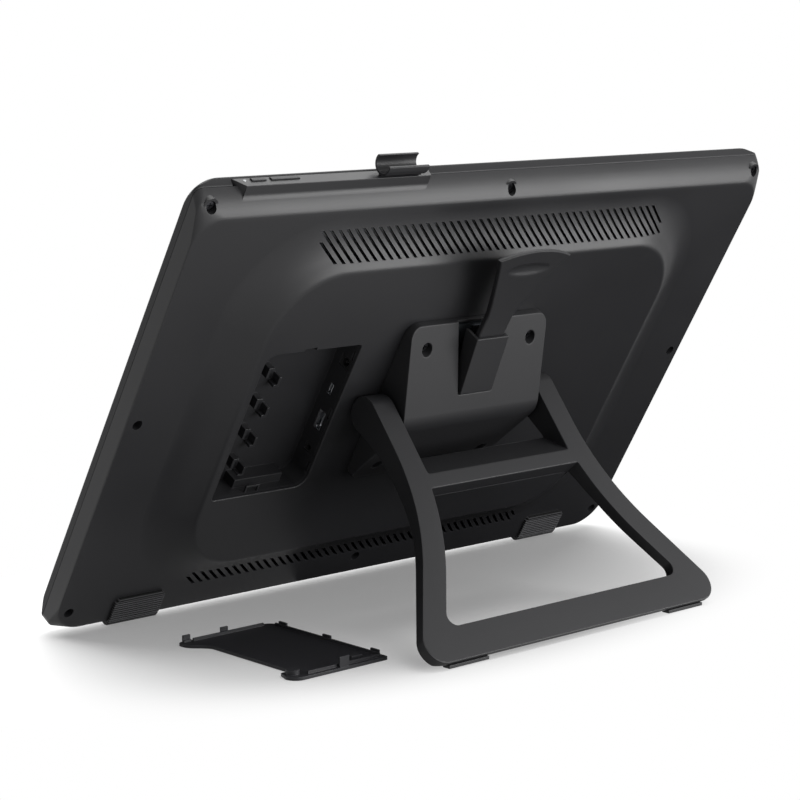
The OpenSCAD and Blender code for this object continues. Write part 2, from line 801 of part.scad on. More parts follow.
// Ribbed rubber foot that wraps the lower edge and ends flat on the table
module pad(s) {
  intersection() {
    tab() difference() {
      union() {
        plan(pad_pts(s, pad_sink), edge_d - pad_sink, edge_d + pad_out);
        side([
          [pad_sink, edge_d - pad_back],
          [pad_sink, edge_d + pad_out],
          [-pad_h - 1.4, edge_d + 0.6],
          [-pad_h - 1.4, edge_d - 6],
          [0, edge_d - pad_back]
        ], s * pad_x - pad_w / 2, s * pad_x + pad_w / 2);
      }
      for (i = [0 : rib_count - 1]) slab(s * pad_x - pad_w / 2 - 1, s * pad_x + pad_w / 2 + 1,
        0.4 + rib_pitch * i, 0.4 + rib_pitch * i + rib_gap, edge_d + pad_out - rib_d, edge_d + pad_out + 1);
    }
    translate([-body_w, -500, 0]) cube([2 * body_w, 1000, 200]);
  }
}

module foot_pad_left() {
  color("#131314") pad(1);
}

module foot_pad_right() {
  color("#131314") pad(-1);
}

// Cross recess, 1 or more deep, in a screw head whose top is at the depth n
module driver_cross(p, l, w, n) {
  slab(p[0] - l, p[0] + l, p[1] - w, p[1] + w, n - 2.5 * w, n + 1);
  slab(p[0] - w, p[0] + w, p[1] - l, p[1] + l, n - 2.5 * w, n + 1);
}

module case_screws() {
  color("#3a3b3e") tab() for (p = case_at) difference() {
    union() {
      ncyl(p[0], p[1], thread_r, thread_n + 0.5, case_seat + 0.5);
      ncyl(p[0], p[1], case_head, case_seat, case_seat + case_head_h);
    }
    driver_cross(p, 1.8, 0.4, case_seat + case_head_h);
  }
}

module pen_clip() {
  r1 = clip_r + clip_t;
  color("#1f2022") tab() union() {
    difference() {
      xcyl(clip_c[0], clip_c[1], r1, clip_x0, clip_x1);
      xcyl(clip_c[0], clip_c[1], clip_r, clip_x0 - 1, clip_x1 + 1);
      side([
        [clip_c[0] + 3.4, clip_c[1] - r1 - 1],
        [clip_c[0] + 1.6, clip_c[1] + r1 + 1],
        [clip_c[0] + 20, clip_c[1] + r1 + 1],
        [clip_c[0] + 20, clip_c[1] - r1 - 1]
      ], clip_x0 - 1, clip_x1 + 1);
    }
    difference() {
      side([
        [ledge_v - clip_root, clip_c[1] - clip_hw],
        [ledge_v + 0.2, clip_c[1] - clip_hw],
        [ledge_v + clip_neck, clip_c[1] - clip_wide],
        [ledge_v + clip_neck, clip_c[1] + clip_wide],
        [ledge_v + 0.2, clip_c[1] + clip_hw],
        [ledge_v - clip_root, clip_c[1] + clip_hw]
      ], clip_x0, clip_x1 - 1);
      xcyl(clip_c[0], clip_c[1], clip_r + 0.3, clip_x0 - 1, clip_x1 + 1);
    }
  }
}

// Port lid, inner face up, as it lies on the table: x across, y from the tablet outwards.
// One edge is cut back to let the cables out.
function lid_pts() = concat(
  arc([lid_x + lid_w - lid_r[0], lid_y + lid_r[0]], lid_r[0], -90, 0, 3),
  [for (i = [0 : 10]) [lid_x + lid_w - lid_cut * (1 - cos(18 * i)) / 2, lid_y + 6 + 1.8 * i]],
  [[lid_x + lid_w - lid_cut, lid_y + lid_step - 2]],
  [[lid_x + lid_w - lid_cut + 2, lid_y + lid_step]],
  [[lid_x + lid_w - 3, lid_y + lid_step]],
  arc([lid_x + lid_w - lid_r[1], lid_y + lid_h - lid_r[1]], lid_r[1], 0, 90, 6),
  arc([lid_x + lid_r[0], lid_y + lid_h - lid_r[0]], lid_r[0], 90, 180, 3),
  arc([lid_x + lid_r[1], lid_y + lid_r[1]], lid_r[1], 180, 270, 6)
);

module lid_prong(x, y, w, d, h) {
  translate([x, y, lid_t - 0.2]) cube([w, d, h + 0.2]);
}

module port_lid() {
  color("#222325") union() {
    linear_extrude(lid_t) polygon(lid_pts());
    // Rim of the inner face
    lid_prong(lid_x + rim_in, lid_y + 9, rim_t, lid_h - 14, rim_h);
    lid_prong(lid_x + 10, lid_y + rim_in, lid_w - 20, rim_t, rim_h);
    lid_prong(lid_x + 6, lid_y + lid_h - rim_in - rim_t, lid_w - 20, rim_t, rim_h);
    // Snap prongs and hooks
    for (x = [lid_w - 9, lid_w * 0.49]) {
      lid_prong(lid_x + x, lid_y + 0.6, 6, prong_t, 4.5);
      lid_prong(lid_x + x, lid_y + 0.6, 6, 2.8, 1.5);
    }
    lid_prong(lid_x + lid_w * 0.42, lid_y + lid_h - 2.2, 8, prong_t, 7);
    for (y = [0.12, 0.5, 0.9]) lid_prong(lid_x + 0.6, lid_y + lid_h * y - 4, prong_t, 8, 3);
    lid_prong(lid_x + lid_w * 0.2, lid_y + lid_h - 14, 9, 6, 3);
    translate([lid_x + lid_w - 7.5, lid_y + lid_h - 10.5, lid_t - 0.2]) cylinder(r = 4.5, h = 3.2);
  }
}

// Outer face of a wing of the mount cover at a place v, lowered by d
function wing_n(v, d) = hinge_n + (barrel_r - d) / cos(wing_a) - abs(v - hinge_v) * tan(wing_a);

// Solid form of the mount cover, drawn in by d
module hump(d, n0) {
  intersection() {
    union() {
      side([
        [hinge_v - cover_v + d, n0],
        [hinge_v - cover_v + d, wing_n(hinge_v - cover_v + d, d)],
        [hinge_v - (barrel_r - d) * sin(wing_a), hinge_n + (barrel_r - d) * cos(wing_a)],
        [hinge_v + (barrel_r - d) * sin(wing_a), hinge_n + (barrel_r - d) * cos(wing_a)],
        [hinge_v + cover_v - d, wing_n(hinge_v + cover_v - d, d)],
        [hinge_v + cover_v - d, n0]
      ], -cover_x + d, cover_x - d);
      xcyl(hinge_v, hinge_n, barrel_r - d, -cover_x + d, cover_x - d);
    }
    plan(round_box(-cover_x + d, cover_x - d, hinge_v - cover_v + d, hinge_v + cover_v - d, cover_r - d, 8),
      n0, hinge_n + barrel_r + 1);
  }
}

module mount_cover() {
  color("#26272a") tab() difference() {
    union() {
      difference() {
        hump(0, top_n);
        hump(cover_t, top_n - 1);
      }
      intersection() {
        hump(0, base_n);
        for (p = vesa_at) ncyl(p[0], p[1], well_r + well_wall, base_n, hinge_n + barrel_r);
      }
    }
    for (p = vesa_at) ncyl(p[0], p[1], well_r, base_n + bolt_floor, hinge_n + barrel_r);
    for (p = vesa_at) ncyl(p[0], p[1], bolt_way, base_n - 1, base_n + bolt_floor + 1);
    // Way for the hinge shaft, open towards the tablet
    xcyl(hinge_v, hinge_n, shaft_d / 2 + 0.8, -cover_x - 1, cover_x + 1);
    slab(-cover_x - 1, cover_x + 1, hinge_v - shaft_d / 2 - 0.8, hinge_v + shaft_d / 2 + 0.8,
      top_n - 1, hinge_n);
    // Slot for the release lever
    plan([
      [-cap_hw - cap_gap, slot_v],
      [cap_hw + cap_gap, slot_v],
      [cap_hw + cap_flare, hinge_v + cover_v + 1],
      [-cap_hw - cap_flare, hinge_v + cover_v + 1]
    ], base_n + slot_floor, hinge_n + barrel_r);
  }
}

module mount_bracket() {
  color("#55585c") tab() difference() {
    union() {
      slab(-cover_x + base_in[0], cover_x - base_in[0], hinge_v - cover_v + base_in[1],
        hinge_v + cover_v - base_in[1], top_n, base_n);
      for (s = [-1, 1]) {
        xcyl(hinge_v, hinge_n, bush_r + 3, s * ear_x - ear_t / 2, s * ear_x + ear_t / 2);
        slab(s * ear_x - ear_t / 2, s * ear_x + ear_t / 2, hinge_v - 11, hinge_v + 11, base_n - 1, hinge_n);
        slab(s * lug_x - lug_t / 2, s * lug_x + lug_t / 2, lev_v - 5, lev_v + 5, base_n - 1, lev_n + 4.5);
      }
    }
    xcyl(hinge_v, hinge_n, bush_r, -cover_x, cover_x);
    xcyl(lev_v, lev_n, lev_pin_r, -lug_x - 3, lug_x + 3);
    for (p = vesa_at) ncyl(p[0], p[1], bolt_way, top_n - 1, base_n + 1);
    slab(-drum_x - 2, drum_x + 2, hinge_v - 11, hinge_v + 11, top_n - 1, base_n + 1);
  }
}

module mount_screws() {
  color("#3c3d40") tab() for (p = vesa_at) difference() {
    union() {
      ncyl(p[0], p[1], bolt_r, in_n - bolt_hold, base_n + bolt_floor + 0.5);
      ncyl(p[0], p[1], bolt_head, base_n + bolt_floor, base_n + bolt_floor + bolt_head_h);
    }
    driver_cross(p, 2.4, 0.5, base_n + bolt_floor + bolt_head_h);
  }
}

module bush(s) {
  difference() {
    xcyl(hinge_v, hinge_n, bush_r, s * ear_x - ear_t / 2, s * ear_x + ear_t / 2);
    xcyl(hinge_v, hinge_n, shaft_d / 2 + run_fit, s * ear_x - ear_t, s * ear_x + ear_t);
  }
}

module hinge_bush_left() {
  color("#cfc9b8") tab() bush(1);
}

module hinge_bush_right() {
  color("#cfc9b8") tab() bush(-1);
}

module hinge_shaft() {
  color("#9a9da2") tab() xcyl(hinge_v, hinge_n, shaft_d / 2, -arm_x - shaft_in, arm_x + shaft_in);
}

module brake_drum() {
  color("#74777c") tab() difference() {
    xcyl(hinge_v, hinge_n, drum_r, -drum_x, drum_x);
    xcyl(hinge_v, hinge_n, shaft_d / 2, -drum_x - 1, drum_x + 1);
  }
}

// Front face of the lever: flat, then curving away from the tablet
function lev_face(v) = lev_n1 + lev_curl * pow(max(0, v - lev_flat + lev_curl_v) / lev_curl_l, 1.8);

// Half width of the lever
function lev_half(v) =
  lever_hw + (lev_tip_hw - lever_hw) * pow(max(0, v - lev_flat) / (lev_tip - lev_flat), 1.32);

// Back of the lever, which thins towards the tip
function lev_back(i) = lev_face(lev_pos(i)) - lev_t * (1 - lev_thin * max(0, i - 8) / 16);

function lev_pos(i) = lev_v - 5 + (lev_tip + lev_arch + 1 - lev_v + 5) * i / 24;

function lev_up(i) = lev_flat + (lev_tip - lev_flat) * i / 14;

module release_lever() {
  top_r = (pow(lev_tip_hw, 2) + pow(lev_arch, 2)) / (2 * lev_arch);
  top_a = asin(lev_tip_hw / top_r);
  color("#232427") tab() difference() {
    union() {
      intersection() {
        side(concat(
          [for (i = [0 : 24]) [lev_pos(i), lev_face(lev_pos(i))]],
          [for (i = [24 : -1 : 0]) [lev_pos(i), lev_back(i)]]
        ), -40, 40);
        plan(concat(
          [[-lever_hw, lev_v - 6], [lever_hw, lev_v - 6]],
          [for (i = [0 : 13]) [lev_half(lev_up(i)), lev_up(i)]],
          arc([0, lev_tip + lev_arch - top_r], top_r, 90 - top_a, 90 + top_a, 16),
          [for (i = [13 : -1 : 0]) [-lev_half(lev_up(i)), lev_up(i)]]
        ), 0, 80);
      }
      xcyl(lev_v, lev_n, lev_pin_r + 2.5, -lever_hw, lever_hw);
      side([
        [lev_v - 4.5, lev_n],
        [lev_v + 4.5, lev_n],
        [lev_v + 4.5, lev_n1 - 1],
        [lev_v - 5, lev_n1 - 1]
      ], -lever_hw, lever_hw);
    }
    xcyl(lev_v, lev_n, lev_pin_r + run_fit, -lever_hw - 1, lever_hw + 1);
  }
}

// Wedge-shaped cap over the lever's root, which fills the slot in the mount cover
module lever_cap() {
  color("#202124") tab() difference() {
    side([
      [cap_v0, hinge_n + 4],
      [cap_v0, hinge_n + 13],
      [cap_v1, hinge_n + 7.4],
      [cap_v1, hinge_n - cap_skirt]
    ], -cap_hw, cap_hw);
    side([
      [cap_v0 - 1, hinge_n - cap_skirt - 1],
      [cap_v0 - 1, lev_n1],
      [cap_v1 + 1, lev_n1],
      [cap_v1 + 1, hinge_n - cap_skirt - 1]
    ], -lever_hw, lever_hw);
  }
}

module brake_pad() {
  color("#5a4636") tab() difference() {
    slab(-lever_hw, lever_hw, hinge_v + 8, lev_v - 5, hinge_n - 2.5, lev_n1);
    xcyl(hinge_v, hinge_n, drum_r + pass_gap, -lever_hw - 1, lever_hw + 1);
  }
}

module lever_pin() {
  color("#b4b6ba") tab() xcyl(lev_v, lev_n, lev_pin_r, -lug_x - 2, lug_x + 2);
}

// Bent leaf that pushes the lever outwards
module lever_spring() {
  leaf_n = lev_n1 - lev_t;
  color("#9a9da2") tab() side([
    [hinge_v + 60, base_n],
    [hinge_v + 60, base_n + 0.6],
    [hinge_v + 46, base_n + 0.6],
    [hinge_v + 37, leaf_n],
    [hinge_v + 32, leaf_n],
    [hinge_v + 32, leaf_n - 0.6],
    [hinge_v + 36.6, leaf_n - 0.6],
    [hinge_v + 45.6, base_n]
  ], -4, 4);
}

// Half of the legs' outer outline as x and s, from the hinge down to the bar
function leg_half() = concat(
  [[leg_x, -20]],
  [for (i = [0 : 12]) [bend_x - bend_r * cos(bend_a * i / 12), bend_s + bend_r * sin(bend_a * i / 12)]],
  arc([foot_x, foot_s], foot_r, -bend_a, 90, 12)
);

// Half of the window between the crossbar and the foot bar
function win_half() = concat(
  [for (i = [0 : 12]) win_bend(win_a0 + (bend_a - win_a0) * i / 12)],
  arc([win_x, win_s], win_r, -bend_a, 90, 8)
);
function win_bend(a) = [bend_x - wide_r * cos(a), bend_s + wide_r * sin(a)];
win_a0 = asin((cross_s1 - bend_s) / wide_r);

function both(h) = concat(h, [for (i = [len(h) - 1 : -1 : 0]) [-h[i][0], h[i][1]]]);

// Outline in x and s drawn out along the legs' thickness
module leg_plan(pts) {
  translate([0, 60, 0]) rotate([90, 0, 0]) linear_extrude(120) polygon([for (p = pts) [p[0], -p[1]]]);
}

// Outline in b and s drawn out along x
module leg_side(pts, hw) {
  translate([-hw, 0, 0]) rotate([90, 0, 90]) linear_extrude(2 * hw) polygon([for (p = pts) [p[0], -p[1]]]);
}

module leg_frame() {
  color("#1e1f21") difference() {
    leg() difference() {
      union() {
        intersection() {
          difference() {
            leg_plan(both(leg_half()));
            leg_plan(both(win_half()));
            translate([-arm_x, -60, -cross_s1 + 0.2]) cube([2 * arm_x, 120, 120]);
          }
          union() {
            translate([-200, 0, 0]) rotate([0, 90, 0]) cylinder(r = arm_r, h = 400);
            leg_side([
              [leg_b, 0],
              [leg_b, leg_len],
              [leg_b - leg_end_t, leg_len],
              each [for (p = leg_prof) [leg_b - p[0], p[1]]],
              [-arm_r * cos(15), arm_r * sin(15)],
              [-arm_r + 0.3, 0]
            ], 200);
          }
        }
        leg_side([
          [leg_b, cross_s0],
          [leg_b, cross_s1],
          [leg_b - cross_back[0], cross_s1 + 1],
          [leg_b - cross_back[1], cross_top]
        ], arm_x + 2);
      }
      translate([-arm_x - shaft_in, 0, 0]) rotate([0, 90, 0])
        cylinder(r = shaft_d / 2, h = 2 * (arm_x + shaft_in));
    }
    translate([-300, -600, -100]) cube([600, 1200, 100 + foot_h]);
  }
}

module stand_foot(s) {
  y1 = hinge_y + leg_len * sin(leg_a) + (leg_b - leg_end_t) * cos(leg_a);
  y0 = y1 - foot_h * tan(leg_a);
  translate([s * stand_pad_x - stand_pad_w / 2, y0, 0]) cube([stand_pad_w, stand_pad_l, foot_h]);
}

module stand_foot_left() {
  color("#131314") stand_foot(1);
}

module stand_foot_right() {
  color("#131314") stand_foot(-1);
}

front_glass();
front_frame();
lcd_panel();
sensor_board();
chassis_plate();
chassis_screws();
main_board();
board_screws();
dc_jack();
usb_port();
hdmi_port();
audio_jack();
button_board();
led_window();
power_button();
menu_button();
rear_shell();
bay_tray();
case_screws();
pen_clip();
foot_pad_left();
foot_pad_right();
port_lid();
mount_bracket();
mount_cover();
mount_screws();
hinge_bush_left();
hinge_bush_right();
hinge_shaft();
brake_drum();
release_lever();
lever_cap();
brake_pad();
lever_pin();
lever_spring();
leg_frame();
stand_foot_left();
stand_foot_right();
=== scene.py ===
"""Looks of a pen display on its folding stand, seen from behind with its port bay open.

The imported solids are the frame. The rear shell, the front frame and the lever are made again here with
smooth skins, the other pieces in view are copies of their solids with the edges rounded, and every piece
gets a procedural finish. Sizes are in millimetres until a point is placed, then in metres.
"""
import json
import math

import bmesh
import bpy
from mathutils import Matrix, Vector

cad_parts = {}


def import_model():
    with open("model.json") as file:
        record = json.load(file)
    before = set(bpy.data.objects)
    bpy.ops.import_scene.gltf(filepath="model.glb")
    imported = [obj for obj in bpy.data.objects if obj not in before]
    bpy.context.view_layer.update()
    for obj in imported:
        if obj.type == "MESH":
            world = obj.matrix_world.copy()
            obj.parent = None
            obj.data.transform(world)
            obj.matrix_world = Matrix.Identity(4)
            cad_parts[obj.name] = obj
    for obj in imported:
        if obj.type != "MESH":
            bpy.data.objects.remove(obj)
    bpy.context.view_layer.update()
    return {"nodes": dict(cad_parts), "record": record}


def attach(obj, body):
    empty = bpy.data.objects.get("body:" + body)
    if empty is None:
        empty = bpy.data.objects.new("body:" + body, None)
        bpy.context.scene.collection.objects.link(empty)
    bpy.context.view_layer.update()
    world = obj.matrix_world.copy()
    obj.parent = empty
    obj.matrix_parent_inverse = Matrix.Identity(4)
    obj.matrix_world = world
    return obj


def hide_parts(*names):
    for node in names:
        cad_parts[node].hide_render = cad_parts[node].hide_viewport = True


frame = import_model()

MM = 0.001
NODES = frame["nodes"]
BODY_OF = {n: b for b, ns in frame["record"]["behaviour"]["bodies"].items() for n in ns}
SLOT_OF = {p["node"]: p["material_slot"] for p in frame["record"]["subparts"]}

# Sizes of the solids that are made again here, as in the part's source
TILT = math.radians(59.5)
Y_SHIFT, Z_LIFT = -129.066, 12.9447
BODY_W, BODY_H = 535.0, 353.0
EDGE_D, FRAME_D, WALL = 19.2, 5.7, 2.5
CORNER_R, MID_R, BACK_R = 20.0, 6.0, (24.0, 21.0)
RIM_N, MID_N = 4.0, 13.0
BROW_R, BROW_N = 42.0, -18.17
BROW_V = BODY_H - math.sqrt(BROW_R ** 2 - BROW_N ** 2)
BUMP_RISE, BUMP_SIDE, BUMP_LOW, BUMP_TOP = 13.5, 77.5, 48.6, 57.7
BUMP_R, BUMP_SLOPE = 52.0, 34.0
TOP_N = EDGE_D + BUMP_RISE
IN_N = TOP_N - WALL
BUMP_X = BODY_W / 2 - BUMP_SIDE
BUMP_V0, BUMP_V1 = BUMP_LOW, BODY_H - BUMP_TOP
HINGE_V, HINGE_N = BODY_H - 172, TOP_N + 13.7
GLASS_W, GLASS_H, GLASS_T = BODY_W - 35, BODY_H - 61, 2.0
BAY_X1 = BUMP_X - 8.1
BAY_X0 = BAY_X1 - 81.5
BAY_V0 = HINGE_V - 70
BAY_V1 = BAY_V0 + 121.5
LEDGE_V, LEDGE_N, LEDGE_FALL, LEDGE_LOW = BODY_H - 0.6, 10.9, 4.3, BODY_H - 13
LEDGE_X1 = BODY_W / 2 - 31.5
LEDGE_X0 = LEDGE_X1 - 159
CASE_AT = [(s * (BODY_W / 2 - 9.6), v) for s in (-1, 1) for v in (15.5, BODY_H / 2, BODY_H - 12)]
CASE_AT += [(0, 15), (0, BODY_H - 13)]
CASE_SEAT = 10.5
CASE_HOLE_R, CASE_HEAD_R, POST_R = 1.7, 3.8, 5.6
PAD_X, PAD_W, PAD_TOP, PAD_CUT = BODY_W / 2 - 67.5, 42.0, 20.7, 3.0
PAD_SINK, PAD_BACK = 1.2, 11.0
RIB_START, RIB_PITCH, RIB_GROOVE = 0.4, 2.0, 0.55
VENT_COUNT, VENT_PITCH, VENT_W, VENT_DEPTH = 47, 7.0, 3.0, 19.0
KEYS, KEY_PLAY, KEY_N = ((LEDGE_X1 - 16.8, 11.3), (LEDGE_X1 - 38.1, 23)), 0.25, (3.15, 6.65)
SCREEN_W, SCREEN_H = 476.0, 268.0


# Placing

def spot(x, v, n):
    """Point in the shared frame from x, v up the screen and n behind the glass."""
    c, s = math.cos(TILT), math.sin(TILT)
    return Vector((x, v * c + n * s + Y_SHIFT, Z_LIFT + v * s - n * c)) * MM


def new_object(name, mesh):
    obj = bpy.data.objects.new(name, mesh)
    bpy.context.scene.collection.objects.link(obj)
    return obj


def from_bmesh(name, bm, outward=True):
    if outward:
        bmesh.ops.recalc_face_normals(bm, faces=bm.faces)
    mesh = bpy.data.meshes.new(name)
    bm.to_mesh(mesh)
    bm.free()
    return new_object(name, mesh)


def bake(obj):
    """Turns an object's modifiers into its plain mesh."""
    bpy.context.view_layer.update()
    graph = bpy.context.evaluated_depsgraph_get()
    mesh = bpy.data.meshes.new_from_object(obj.evaluated_get(graph), depsgraph=graph)
    obj.modifiers.clear()
    obj.data = mesh
    return obj


def smooth(obj, degrees=30):
    """Smooth shading that stays flat on flat faces and breaks at sharp edges."""
    bm = bmesh.new()
    bm.from_mesh(obj.data)
    bmesh.ops.remove_doubles(bm, verts=bm.verts, dist=1e-6)
    bm.to_mesh(obj.data)
    bm.free()
    obj.data.polygons.foreach_set("use_smooth", [True] * len(obj.data.polygons))
    obj.data.set_sharp_from_angle(angle=math.radians(degrees))
    even = obj.modifiers.new("even", "WEIGHTED_NORMAL")
    even.keep_sharp, even.weight = True, 60
    return bake(obj)


def dress(obj, node):
    """The piece rides, is finished and stands in for a solid."""
    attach(obj, BODY_OF[node])
    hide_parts(node)
    obj.data.materials.clear()
    obj.data.materials.append(FINISH[SLOT_OF[node]])
    return obj


# Mesh tools

def loft(name, rings, closed=False):
    """Solid through rings of equally many points, capped at both ends unless it closes on itself."""
    bm = bmesh.new()
    loops = [[bm.verts.new(p) for p in ring] for ring in rings]
    count = len(loops[0])
    pairs = list(zip(loops, loops[1:])) + ([(loops[-1], loops[0])] if closed else [])
    for a, b in pairs:
        for i in range(count):
            j = (i + 1) % count
            bm.faces.new((a[i], a[j], b[j], b[i]))
    if not closed:
        bm.faces.new(loops[0])
        bm.faces.new(loops[-1])
    return from_bmesh(name, bm)


def prism(name, points, n0, n1):
    return loft(name, [[spot(x, v, n) for x, v in points] for n in (n0, n1)])


def block(name, x0, x1, v0, v1, n0, n1):
    return prism(name, [(x0, v0), (x1, v0), (x1, v1), (x0, v1)], n0, n1)


def drill(name, x, v, profile, steps=32):
    """Turned solid about an axis along n, from (radius, n) pairs."""
    turn = [(math.cos(2 * math.pi * i / steps), math.sin(2 * math.pi * i / steps)) for i in range(steps)]
    return loft(name, [[spot(x + r * c, v + r * s, n) for c, s in turn] for r, n in profile])


def bar_along_x(name, v, n, radius, half, steps=32):
    turn = [2 * math.pi * i / steps for i in range(steps)]
    ends = [[spot(x, v + radius * math.cos(a), n + radius * math.sin(a)) for a in turn]
            for x in (-half, half)]
    return loft(name, ends)


def join_by(obj, tools, operation):
    """Adds or cuts tool solids, which are then removed."""
    group = bpy.data.collections.new("tools")
    for tool in tools:
        group.objects.link(tool)
    step = obj.modifiers.new("tools", "BOOLEAN")
    step.operation, step.solver, step.operand_type = operation, "EXACT", "COLLECTION"
    step.collection = group
    bake(obj)
    for tool in tools:
        bpy.data.objects.remove(tool)
    bpy.data.collections.remove(group)
    return obj


def rounded_copy(node, width, split=False):
    """Copy of a solid with its edges rounded; faces with holes are split up first."""
    bm = bmesh.new()
    bm.from_mesh(NODES[node].data)
    bmesh.ops.remove_doubles(bm, verts=bm.verts, dist=1e-6)
    bmesh.ops.dissolve_limit(bm, angle_limit=math.radians(0.5), verts=bm.verts, edges=bm.edges)
    if split:
        bmesh.ops.triangulate(bm, faces=[f for f in bm.faces if len(f.verts) > 4])
    obj = from_bmesh(node + "_skin", bm, outward=False)
    edge = obj.modifiers.new("edge", "BEVEL")
    edge.width, edge.segments = width * MM, 2
    edge.limit_method, edge.angle_limit = "ANGLE", math.radians(35)
    edge.miter_outer, edge.loop_slide, edge.use_clamp_overlap = "MITER_ARC", False, False
    bake(obj)
    return dress(smooth(obj), node)


# Finishes

def add(tree, kind, **values):
    """New node; each value names a property of the node, or else one of its inputs."""
    made = tree.nodes.new(kind)
    for key, value in values.items():
        if hasattr(made, key):
            setattr(made, key, value)
        else:
            made.inputs[key].default_value = value
    return made


def math_node(tree, operation, first, second=None, clamp=False):
    """Result of one step of reckoning with sockets or numbers."""
    made = add(tree, "ShaderNodeMath", operation=operation, use_clamp=clamp)
    for socket, value in zip(made.inputs, (first, second)):
        if isinstance(value, (int, float)):
            socket.default_value = value
        elif value is not None:
            tree.links.new(value, socket)
    return made.outputs[0]


def noise(tree, **values):
    """Noise in the piece's own coordinates."""
    place = tree.nodes.new("ShaderNodeTexCoord")
    made = add(tree, "ShaderNodeTexNoise", **values)
    tree.links.new(place.outputs["Object"], made.inputs["Vector"])
    return made


def shader_group(name, inputs, outputs=("Mask",)):
    """Empty node group with numbers going in and coming out."""
    tree = bpy.data.node_groups.new(name, "ShaderNodeTree")
    for label, value in inputs:
        socket = tree.interface.new_socket(name=label, in_out="INPUT", socket_type="NodeSocketFloat")
        socket.default_value = value
    for label in outputs:
        tree.interface.new_socket(name=label, in_out="OUTPUT", socket_type="NodeSocketFloat")
    return tree, tree.nodes.new("NodeGroupInput"), tree.nodes.new("NodeGroupOutput")


def moulded_grain():
    """Fine sparkle of a moulded surface with broad soft patches."""
    inputs = (("Grain per metre", 2600.0), ("Roughness", 0.5), ("Patch", 0.06))
    tree, given, out = shader_group("moulded_grain", inputs, ("Height", "Roughness", "Patch"))
    link = tree.links.new
    grain = noise(tree, Detail=3.0, Roughness=0.6)
    link(given.outputs["Grain per metre"], grain.inputs["Scale"])
    broad = noise(tree, Scale=14.0, Detail=4.0)
    centred = math_node(tree, "SUBTRACT", broad.outputs["Fac"], 0.5)
    scaled = math_node(tree, "MULTIPLY", centred, given.outputs["Patch"])
    link(grain.outputs["Fac"], out.inputs["Height"])
    link(math_node(tree, "ADD", given.outputs["Roughness"], scaled, clamp=True), out.inputs["Roughness"])
    link(broad.outputs["Fac"], out.inputs["Patch"])
    return tree


def edge_wear():
    """Mask that is strongest on rounded edges, broken up by noise."""
    tree, given, out = shader_group("edge_wear", (("Radius", 0.0012), ("Gain", 3.0)))
    link = tree.links.new
    soft = add(tree, "ShaderNodeBevel", samples=4)
    link(given.outputs["Radius"], soft.inputs["Radius"])
    true = tree.nodes.new("ShaderNodeNewGeometry")
    along = add(tree, "ShaderNodeVectorMath", operation="DOT_PRODUCT")
    link(soft.outputs["Normal"], along.inputs[0])
    link(true.outputs["Normal"], along.inputs[1])
    bend = math_node(tree, "SUBTRACT", 1.0, along.outputs["Value"], clamp=True)
    part = math_node(tree, "MULTIPLY", bend, noise(tree, Scale=160.0, Detail=3.0).outputs["Fac"])
    link(math_node(tree, "MULTIPLY", part, given.outputs["Gain"], clamp=True), out.inputs["Mask"])
    return tree


GRAIN, WEAR = moulded_grain(), edge_wear()


def plastic(name, colour, roughness, specular, depth=0.00003, worn=1.6, patch=0.1):
    """Moulded plastic: grain in the bump, patches in the gloss, paler where edges are handled."""
    material = bpy.data.materials.new(name)
    material.use_nodes = True
    tree = material.node_tree
    shader = tree.nodes["Principled BSDF"]
    link = tree.links.new
    shader.inputs["Specular IOR Level"].default_value = specular
    texture = tree.nodes.new("ShaderNodeGroup")
    texture.node_tree = GRAIN
    texture.inputs["Roughness"].default_value = roughness
    texture.inputs["Patch"].default_value = patch
    edges = tree.nodes.new("ShaderNodeGroup")
    edges.node_tree = WEAR
    tone = add(tree, "ShaderNodeMix", data_type="RGBA")
    tone.inputs["A"].default_value = [c * 0.92 for c in colour] + [1]
    tone.inputs["B"].default_value = [c * 1.1 for c in colour] + [1]
    link(texture.outputs["Patch"], tone.inputs["Factor"])
    handled = add(tree, "ShaderNodeMix", data_type="RGBA")
    handled.inputs["B"].default_value = [min(1, c * (1 + worn)) for c in colour] + [1]
    link(edges.outputs["Mask"], handled.inputs["Factor"])
    link(tone.outputs["Result"], handled.inputs["A"])
    link(handled.outputs["Result"], shader.inputs["Base Color"])
    link(texture.outputs["Roughness"], shader.inputs["Roughness"])
    bump = add(tree, "ShaderNodeBump", Strength=0.5, Distance=depth)
    link(texture.outputs["Height"], bump.inputs["Height"])
    link(bump.outputs["Normal"], shader.inputs["Normal"])
    return material


FINISH = {
    "shell_black": plastic("shell_black", (0.010, 0.010, 0.011), 0.42, 0.30),
    "frame_black": plastic("frame_black", (0.012, 0.012, 0.013), 0.42, 0.20),
    "lid_grey": plastic("lid_grey", (0.014, 0.014, 0.016), 0.46, 0.25),
    "cover_grey": plastic("cover_grey", (0.012, 0.012, 0.013), 0.48, 0.22),
    "stand_grey": plastic("stand_grey", (0.011, 0.011, 0.012), 0.46, 0.22),
    "rubber_black": plastic("rubber_black", (0.014, 0.014, 0.015), 0.55, 0.30, depth=0.00002, worn=0.6),
    "panel_dark": plastic("panel_dark", (0.03, 0.03, 0.035), 0.3, 0.4),
    "board_green": plastic("board_green", (0.02, 0.10, 0.05), 0.4, 0.4),
    "port_black": plastic("port_black", (0.010, 0.010, 0.010), 0.4, 0.3),
    "bush_cream": plastic("bush_cream", (0.62, 0.58, 0.48), 0.4, 0.4),
    "brake_brown": plastic("brake_brown", (0.12, 0.08, 0.05), 0.8, 0.2, depth=0.0001),
    "lamp_clear": plastic("lamp_clear", (0.22, 0.23, 0.24), 0.2, 0.5),
}


def metal(name, colour, roughness):
    material = plastic(name, colour, roughness, 0.5, depth=0.00001, worn=0.3, patch=0.15)
    material.node_tree.nodes["Principled BSDF"].inputs["Metallic"].default_value = 1.0
    return material


